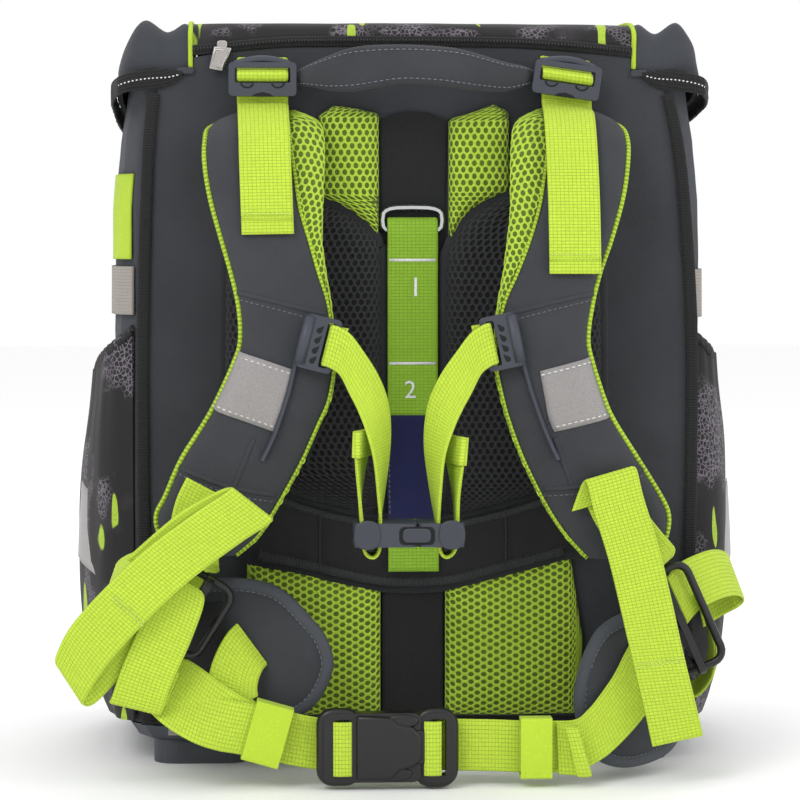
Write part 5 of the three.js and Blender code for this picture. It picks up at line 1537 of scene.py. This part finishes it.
# Straps: reflectors, panel seams and their stitches
REFLECTORS = {
    "left": [(-58.2, 56.7), (-39.3, 53.8), (-45.3, 45.8), (-66, 49.4)],
    "right": [(38.3, 53.7), (55.2, 55.8), (61.8, 48), (43.1, 45.8)],
}
SEAMS = {
    "left": [[(-58.5, 64.1), (-44, 62.4), (-30.5, 60.9)], [(-78, 42.2), (-60, 38.6), (-45.5, 37.6)]],
    "right": [[(28.5, 61), (42, 62.4), (56.5, 63.9)], [(40, 38.3), (58, 38.8), (74, 42)]],
}
CHANNELS = {
    "left": [(-52.6, 45), (-55.6, 42), (-59, 38.7)],
    "right": [(43.4, 45), (46, 42), (49, 38.7)],
}
LIFT_ENDS = {"left": 73.4, "right": 68.4}
for name, side in SIDES:
    skin = STRAP_SKINS[name]
    corners = REFLECTORS[name]
    patch("strap_reflector_" + name, skin, corners, reflector, 0.55, 0.5)
    for k, (a, b) in enumerate(((corners[0], corners[1]), (corners[3], corners[2]))):
        shift = -0.6 if k == 0 else 0.6
        line = line_on(skin, [(a[0], a[1] + shift), (b[0], b[1] + shift)], 0.75)
        stitches(f"reflector_stitch_{name}_{k}", [line], white_thread, 1.9, 1.1, 0.3)
    for k, seam in enumerate(SEAMS[name]):
        line = line_on(skin, seam, 0.15)
        tube(f"strap_fold_{name}_{k}", line, 1.1, grey_cloth, 8, squeeze=0.55)
        lower = [(x, z - 0.9) for x, z in seam]
        stitches(f"strap_stitch_{name}_{k}", [line_on(skin, lower, 0.25)], grey_thread, 1.7, 1.0, 0.22)
    line = line_on(skin, CHANNELS[name], 0.1)
    tube("rail_tape_" + name, line, 1.3, grey_cloth, 8, squeeze=0.4)

    # Folded hem of the lift web, on the loose part of its route
    loose_part = [row for row in smooth(LIFT[name]["route"], 6) if row[1] <= -60]
    x, y, z = min(loose_part, key=lambda row: abs(row[2] - LIFT_ENDS[name]))[:3]
    hem = [point(x + k * WEB / HALF_WIDTH * 9.9, y - 1.9, z) for k in (-5, -2.5, 0, 2.5, 5)]
    tube("lift_hem_" + name, hem, 0.9, lime_web, 8, squeeze=0.6)
    thread = [p + Vector((0, 0.3, 2.2)) * MM for p in hem]
    stitches("lift_hem_stitch_" + name, [thread], lime_thread, 1.5, 0.8, 0.25)

# Rows of stitches on the carry handle
lines = front_lines(handle_rows, (0.14, 0.86), lambda row: HANDLE_THICK / 2 * row["t"] * 0.93)
stitches("handle_stitch", lines, grey_thread, 1.8, 1.1, 0.26)

# Bound edges and linings of the hip wings
WING_RIM_INSET = 3.0
for name, _ in SIDES:
    rows = wing_rows(name)[4:]
    lows = [row["a"].lerp(row["b"], min(WING_RIM_INSET / row["tall"], 0.5)) for row in rows]
    highs = [row["b"].lerp(row["a"], min(WING_RIM_INSET / row["tall"], 0.5)) for row in rows]
    rim = lows + highs[::-1][1:]
    tube("hip_wing_rim_" + name, rim, 3.5, light_binding, 12, squeeze=1.12)
    mids = [row["a"].lerp(row["b"], 0.5) for row in rows]
    heart = sum(mids, Vector()) / len(mids)
    thread = [p + (heart - p).normalized() * 2.4 * MM + Vector((0, -4.0, 0)) * MM for p in rim[2:-2]]
    stitches("hip_wing_stitch_" + name, [thread], grey_thread, 1.7, 1.1, 0.24)
seam_rows = [row for row in wing_rows("left") if -84 < (row["a"].x - SHIFT.x) / MM / HALF_WIDTH * 100 < -59.4]
dark = front_lines(seam_rows, (0.16, 0.34, 0.5, 0.66, 0.84), lambda row: row["t"] + 0.35)
sheet("hip_wing_panel", [list(points) for points in zip(*dark)], 0.5, -1, inner_cloth)

# Seams of the lumbar band
for k, x in enumerate((-31, 30.1)):
    line = line_on(belt_skin, [(x, 34.6), (x, 31), (x, 27.4)], 0.3)
    tube(f"belt_seam_{k}", line, 0.5, black_thread, 6)
    stitches(f"belt_stitch_{k}", [[p + Vector((1.6, 0, 0)) * MM for p in line]], black_thread, 1.5, 1.0, 0.24)
BAND_THREADS = (
    [(-52, 36.6), (-37, 34.5), (-18, 32.7), (0, 32), (16, 32.4), (41, 35), (52, 36.8)],
    [(-51, 29.6), (-38, 28.3), (-24.7, 26.9), (-8.7, 25.7), (9.3, 25.8), (27.3, 27.5), (50, 29.9)],
)
for k, row in enumerate(BAND_THREADS):
    stitches(f"belt_edge_stitch_{k}", [line_on(belt_skin, row, 0.25)], black_thread, 1.7, 1.0, 0.24)

# Tapes bound over the band's long edges
BAND_EDGES = (
    ("top", 2.1, [(-49, 36.7), (-37.3, 34.9), (-27, 33.7), (-18, 33), (-9, 32.5), (0, 32.3), (16, 32.7),
                  (30, 34), (41.3, 35.4), (50, 36.7)]),
    ("low", 2.7, [(-51, 28.9), (-38, 27.8), (-24.7, 26.5), (-8.7, 25.3), (0, 25.2), (9.3, 25.4), (20, 26.2),
                  (27.3, 27), (40, 28.3), (49, 29.3)]),
)
for name, radius, row in BAND_EDGES:
    line = line_on(belt_skin, row, 0.1, 8)
    tube("band_binding_" + name, line, radius, band_tape, 10, squeeze=0.4)

# Depths of the buckles' front faces in millimetres, from their shares of the standoff
LIFT_FRONT = -28.5 * STANDOFF / 100
SLIDER_FRONT = -121.4 * STANDOFF / 100 - 1.5
CHEST_FRONT = -151 * STANDOFF / 100 - 13
HIP_FRONT = -131 * STANDOFF / 100 - 4.5
SLIDERS = {"left": (-32, 57.3, -14), "right": (25.8, 57.5, 12)}

# Lift buckles: black patches of painted shade for the recesses in the lower bar and its scoop, and an arch
# over the web
for name, side in SIDES:
    lift = LIFT[name]
    cx, cz = mm(lift["x"], lift["z"])
    tilt = lift["tilt"]
    for u in (-7.5, 7.5):
        angles = [math.pi * k / 8 + math.pi for k in range(9)]
        shape = [(u + 3.4 * math.cos(a), -3.9 + 2.6 * math.sin(a)) for a in angles]
        # A black patch painted as the shade in a recess of the lower bar.
        slab(f"lift_recess_shade_{name}_{u}", turned(shape, cx, cz, tilt), LIFT_FRONT - 0.12, 0.4, black_cloth, 0)
        button = turned([(a * 0.72 + u * 0.28, b * 0.72 - 1.1) for a, b in shape], cx, cz, tilt)
        slab(f"lift_button_{name}_{u}", button, LIFT_FRONT - 0.4, 0.5, slate, 0.15)
    # A black patch painted as the shade in the scoop under the lower bar.
    scoop = [(-5.5, -10.4), (5.5, -10.4), (3.6, -9), (0, -8.2), (-3.6, -9)]
    slab("lift_scoop_shade_" + name, turned(scoop, cx, cz, tilt), LIFT_FRONT - 0.1, 0.3, black_cloth, 0)
    arch = [(-13.6 + 27.2 * k / 12, 5.2 + 2.7 * math.sin(math.pi * k / 12)) for k in range(13)]
    arch = [place(x, LIFT_FRONT + 2.0, z) for x, z in turned(arch, cx, cz, tilt)]
    tube("lift_arch_" + name, arch, 1.9, slate, 10)

    # Chest slider: sleeve for the rail and four drop-shaped black patches of painted shade
    sx, sz, tilt = SLIDERS[name]
    sx, sz = mm(sx, sz)
    sleeve = turned([(side * 6.9, -11), (side * 6.9, 11.5)], sx, sz, tilt)
    sleeve = [place(x, SLIDER_FRONT + 1.2, z) for x, z in sleeve]
    tube("slider_sleeve_" + name, sleeve, 2.9, slate, 12)
    for k in range(4):
        angles = [math.radians(a) for a in range(150, 391, 30)]
        drop = [(1.35 * math.cos(a), 1.35 * math.sin(a)) for a in angles] + [(0, 3.3)]
        drop = turned(turned(drop, side * 1.3, 6.0 - 4.9 * k, side * 32), sx, sz, tilt)
        # Black drop-shaped patch of painted shade on the slider's face.
        slab(f"slider_drop_shade_{name}_{k}", drop, SLIDER_FRONT - 0.1, 0.3, black_cloth, 0)

# Chest buckle: press bar in its window, which is painted dark as shade, and the ends of the two halves
window = rounded(*mm(-7.6, 32.1), *mm(3.6, 34.4), 2.4)
# A black patch painted as the shade inside the window round the press bar.
slab("chest_window_shade", window, CHEST_FRONT - 0.15, 0.5, black_cloth, 0)
press = rounded(*mm(-6.6, 32.4), *mm(2.4, 34.2), 2.6)
slab("chest_press", press, CHEST_FRONT - 1.6, 2.2, slate, 0.8)
for k, x in enumerate((-17.5, 8.9)):
    end = rounded(*mm(x - 4.1, 31.5), *mm(x + 4.1, 35.2), 5.4)
    slab(f"chest_end_{k}", end, CHEST_FRONT - 0.9, 1.6, slate, 0.7)
for name, _ in SIDES:
    ribbon("chest_tab_" + name, CHEST[name][-2:], CHEST_WEB + 0.6, lime_web, 4, 4.2, 9)

# Hip buckle: rounded frames, its body and neck, and the two release tongues
HIP_FRAMES = {"left": (-31.4, 1.2, -20.6, 9.9, 5), "right": (-0.6, 0.9, 10.2, 9.9, 6)}
for name, (x0, z0, x1, z1, radius) in HIP_FRAMES.items():
    line = [place(x, HIP_FRONT + 3.0, z) for x, z in rounded(*mm(x0, z0), *mm(x1, z1), radius)]
    tube("hip_frame_" + name, line, 2.6, glossy, 10, closed=True)
HIP_BODY = (
    (-20.5, 9.7), (-9.6, 9.5), (-7.2, 8.6), (-2.6, 8.2), (0.4, 7), (0.4, 4), (-2.6, 3.0), (-6.8, 2.6),
    (-9.2, 1.5), (-20.5, 1.4),
)
slab("hip_body", [mm(x, z) for x, z in HIP_BODY], HIP_FRONT - 1.9, 3.0, glossy, 1.3)
for k, (x, z) in enumerate(((-6, 8.9), (-8, 2.1))):
    cx, cz = mm(x, z)
    angles = [t / 16 * math.tau for t in range(16)]
    tongue = [(cx + 8.2 * math.cos(a), cz + 3.6 * math.sin(a)) for a in angles]
    slab(f"hip_tongue_{k}", tongue, HIP_FRONT - 0.8, 3.4, glossy, 1.0)
slab("hip_neck", rounded(*mm(-2.6, 3.4), *mm(2.4, 7.8), 3), HIP_FRONT - 1.2, 2.6, glossy, 0.9)

# Webbing folded round the outer bar of each half of the hip buckle
for k, (x0, x1) in enumerate(((-27.9, -21.9), (0.9, 6.5))):
    grid = []
    for i in range(9):
        a = math.pi * i / 8
        x = (x0 + x1) / 2 - math.cos(a) * (x1 - x0) / 2
        deep = HIP_FRONT - 0.6 - 1.7 * math.sin(a)
        grid.append([place(x * HALF_WIDTH / 100, deep, z * HEIGHT / 100) for z in (1.9, 5.4, 8.9)])
    flat_sheet(f"hip_wrap_{k}", refine(grid, 2, 6), WEB_THICK, lime_web)

# Ladder locks: rounded bars
LOCK = {"left": (-73.1, -106, 22.6, 58, 40), "right": (84.4, -88, 20.8, -66, 54)}
for name, (lx, ly, lz, turn, long) in LOCK.items():
    lx, lz = mm(lx, lz)
    shape = turned(rounded(1.4 - long / 2, -13.6, long / 2 - 1.4, 13.6, 6), lx, lz, turn)
    line = [place(x, ly * STANDOFF / 100, z) for x, z in shape]
    tube("lock_frame_" + name, line, 2.0, glossy, 10, closed=True)

# Loop of webbing behind the right lock
LOOP = [
  [90, -66, 24.6, 96, 72], [94, -64, 21.4, 98, 74], [96.6, -62, 17.6, 94, 76], [95.8, -60, 13.8, 84, 76],
  [91.4, -58, 11.2, 70, 76], [87, -56, 11.6, 60, 76],
]
ribbon("lock_loop", LOOP, 21, lime_web, 8)

# Tail hems
TAIL_HEMS = {"left": (-97.3, 25.5, -87.3, 21.8, -164.6), "right": (68.4, 15.6, 84.2, 16.4, -138.8)}
for name, (x0, z0, x1, z1, y) in TAIL_HEMS.items():
    line = [point(x0 + (x1 - x0) * k / 8, y, z0 + (z1 - z0) * k / 8) for k in range(9)]
    second = [p + Vector((0.6, 0, 1.8)) * MM for p in line]
    stitches("tail_hem_" + name, [line, second], lime_thread, 1.5, 0.8, 0.28)

# Reflectors on the side pockets, in the folds near the back
POCKET_SWELL = [swell for swell, in smooth([[swell] for _, swell in POCKET_PROFILE], 8)]
for name, side in SIDES:
    grid = []
    for i in range(9):
        line = []
        for j in range(7):
            u = 0.1 + 0.2 * j / 6
            z = 25 + 10.5 * i / 8 + 1.8 * j / 6
            y = POCKET_DEPTHS[0] + (POCKET_DEPTHS[-1] - POCKET_DEPTHS[0]) * u
            rise = (z - POCKET_LOW) / (POCKET_MOUTH_BACK - POCKET_LOW)
            swell = POCKET_SWELL[min(int(rise ** 0.55 * 56), 56)]
            bulge = POCKET_BULGE * swell * math.sin(math.pi * u) ** 0.75
            line.append(on_wall(side, y, z, GAP + bulge + 3.4))
        grid.append(line)
    sheet("pocket_reflector_" + name, grid, 0.6, side, reflector)

# Black binding round the foot of the bag and its small grey tab
ring = []
for side in (1, -1):
    half = [(side * x * body_scale(6.4), y) for x, y in BODY_OUTLINE]
    ring += half if side > 0 else half[::-1][1:-1]
foot_line = [place(x * HALF_WIDTH / 100, y * DEPTH / 100 - (0.8 if y < 3 else 0), 6.6 * HEIGHT / 100)
             for x, y in smooth(ring + ring[:1], 3)[:-1]]
tube("foot_binding", foot_line, 1.5, black_tape, 10, closed=True, squeeze=2.4,
     face=Vector((0, 0, 1)))
foot_tab = [mm(x, z) for x, z in ((-81, 4.4), (-72, 4.4), (-71, 7.4), (-80, 8.0))]
slab("foot_tab", foot_tab, -3.2, 1.2, grey_web, 0.3)

# Small loop beside the handle's right end
SMALL_LOOP = ((40.5, -6, 90.3), (43, -14, 90.6), (45.4, -16, 91.2), (43.6, -12, 91.9), (40.8, -6, 91.8))
small_loop = [point(x, y, z) for x, y, z in SMALL_LOOP]
tube("small_loop", small_loop, 1.5, grey_cloth, 8, squeeze=0.5)

# Turned-in cloth between each lid seam and its elastic hem
LID_TUCKS = {"left": (-77.3, -71.6, 92.5, 93.4), "right": (71.5, 77.2, 92.3, 93.2)}
for name, (x0, x1, low, high) in LID_TUCKS.items():
    slab("lid_tuck_" + name, rounded(*mm(x0, low), *mm(x1, high), 1.4), -2.0, 1.6, wing_cloth, 0.6)

# Plain clasp behind the front flap
slab("flap_clasp", rounded(-26, 178, 26, 216, 6), 206.5, 3.6, slate, 1.2)


# Camera, lights and floor
def aim(ob, goal):
    """Turns a camera or lamp to a spot."""
    ob.rotation_euler = (goal - ob.location).to_track_quat("-Z", "Y").to_euler()


AZIMUTH = math.radians(-3)
ELEVATION = math.radians(3)
CAMERA_AWAY = 1.5
CAMERA_LENS = 136.4
goal = place(-6.4, 0, 182)
camera = link("camera", bpy.data.cameras.new("camera"))
level = math.cos(ELEVATION)
toward = Vector((math.sin(AZIMUTH) * level, -math.cos(AZIMUTH) * level, math.sin(ELEVATION)))
camera.location = goal + toward * CAMERA_AWAY
aim(camera, goal)
camera.data.lens = CAMERA_LENS
camera.data.sensor_width = 36
camera.data.clip_end = 20
bpy.context.scene.camera = camera

# Lamps: place in metres, size and power
LIGHTS = {
    "key": ((-1.1, -1.8, 1.7), 1.1, 17),
    "fill": ((1.6, -1.5, 0.9), 1.4, 6),
    "top": ((0.1, 0.4, 2.2), 1.4, 7),
    "rim": ((0.6, 2.0, 1.2), 1.2, 5),
}
LIT_SPOT = Vector((0, 0, 0.19))
for name, (location, size, power) in LIGHTS.items():
    lamp = bpy.data.lights.new(name, "AREA")
    lamp.shape = "DISK"
    lamp.size = size
    lamp.energy = power
    ob = link(name, lamp)
    ob.location = location
    aim(ob, LIT_SPOT)
world = bpy.data.worlds.new("studio")
world.use_nodes = True
world.node_tree.nodes["Background"].inputs[0].default_value = (1, 1, 1, 1)
world.node_tree.nodes["Background"].inputs[1].default_value = 1.0
bpy.context.scene.world = world
bpy.context.scene.view_settings.view_transform = "Standard"

floor_look = Look("floor", 0.9)
floor_tone = floor_look.mix(floor_look.noise(120), (0.95, 0.95, 0.95, 1), (0.97, 0.97, 0.97, 1))
FLOOR_REACH = 6
floor_mesh = bpy.data.meshes.new("floor")
corners = [(x * FLOOR_REACH, y * FLOOR_REACH, 0) for x, y in ((-1, -1), (1, -1), (1, 1), (-1, 1))]
floor_mesh.from_pydata(corners, [], [(0, 1, 2, 3)])
floor_mesh.materials.append(floor_look.finish(floor_tone))
floor = link("floor", floor_mesh)
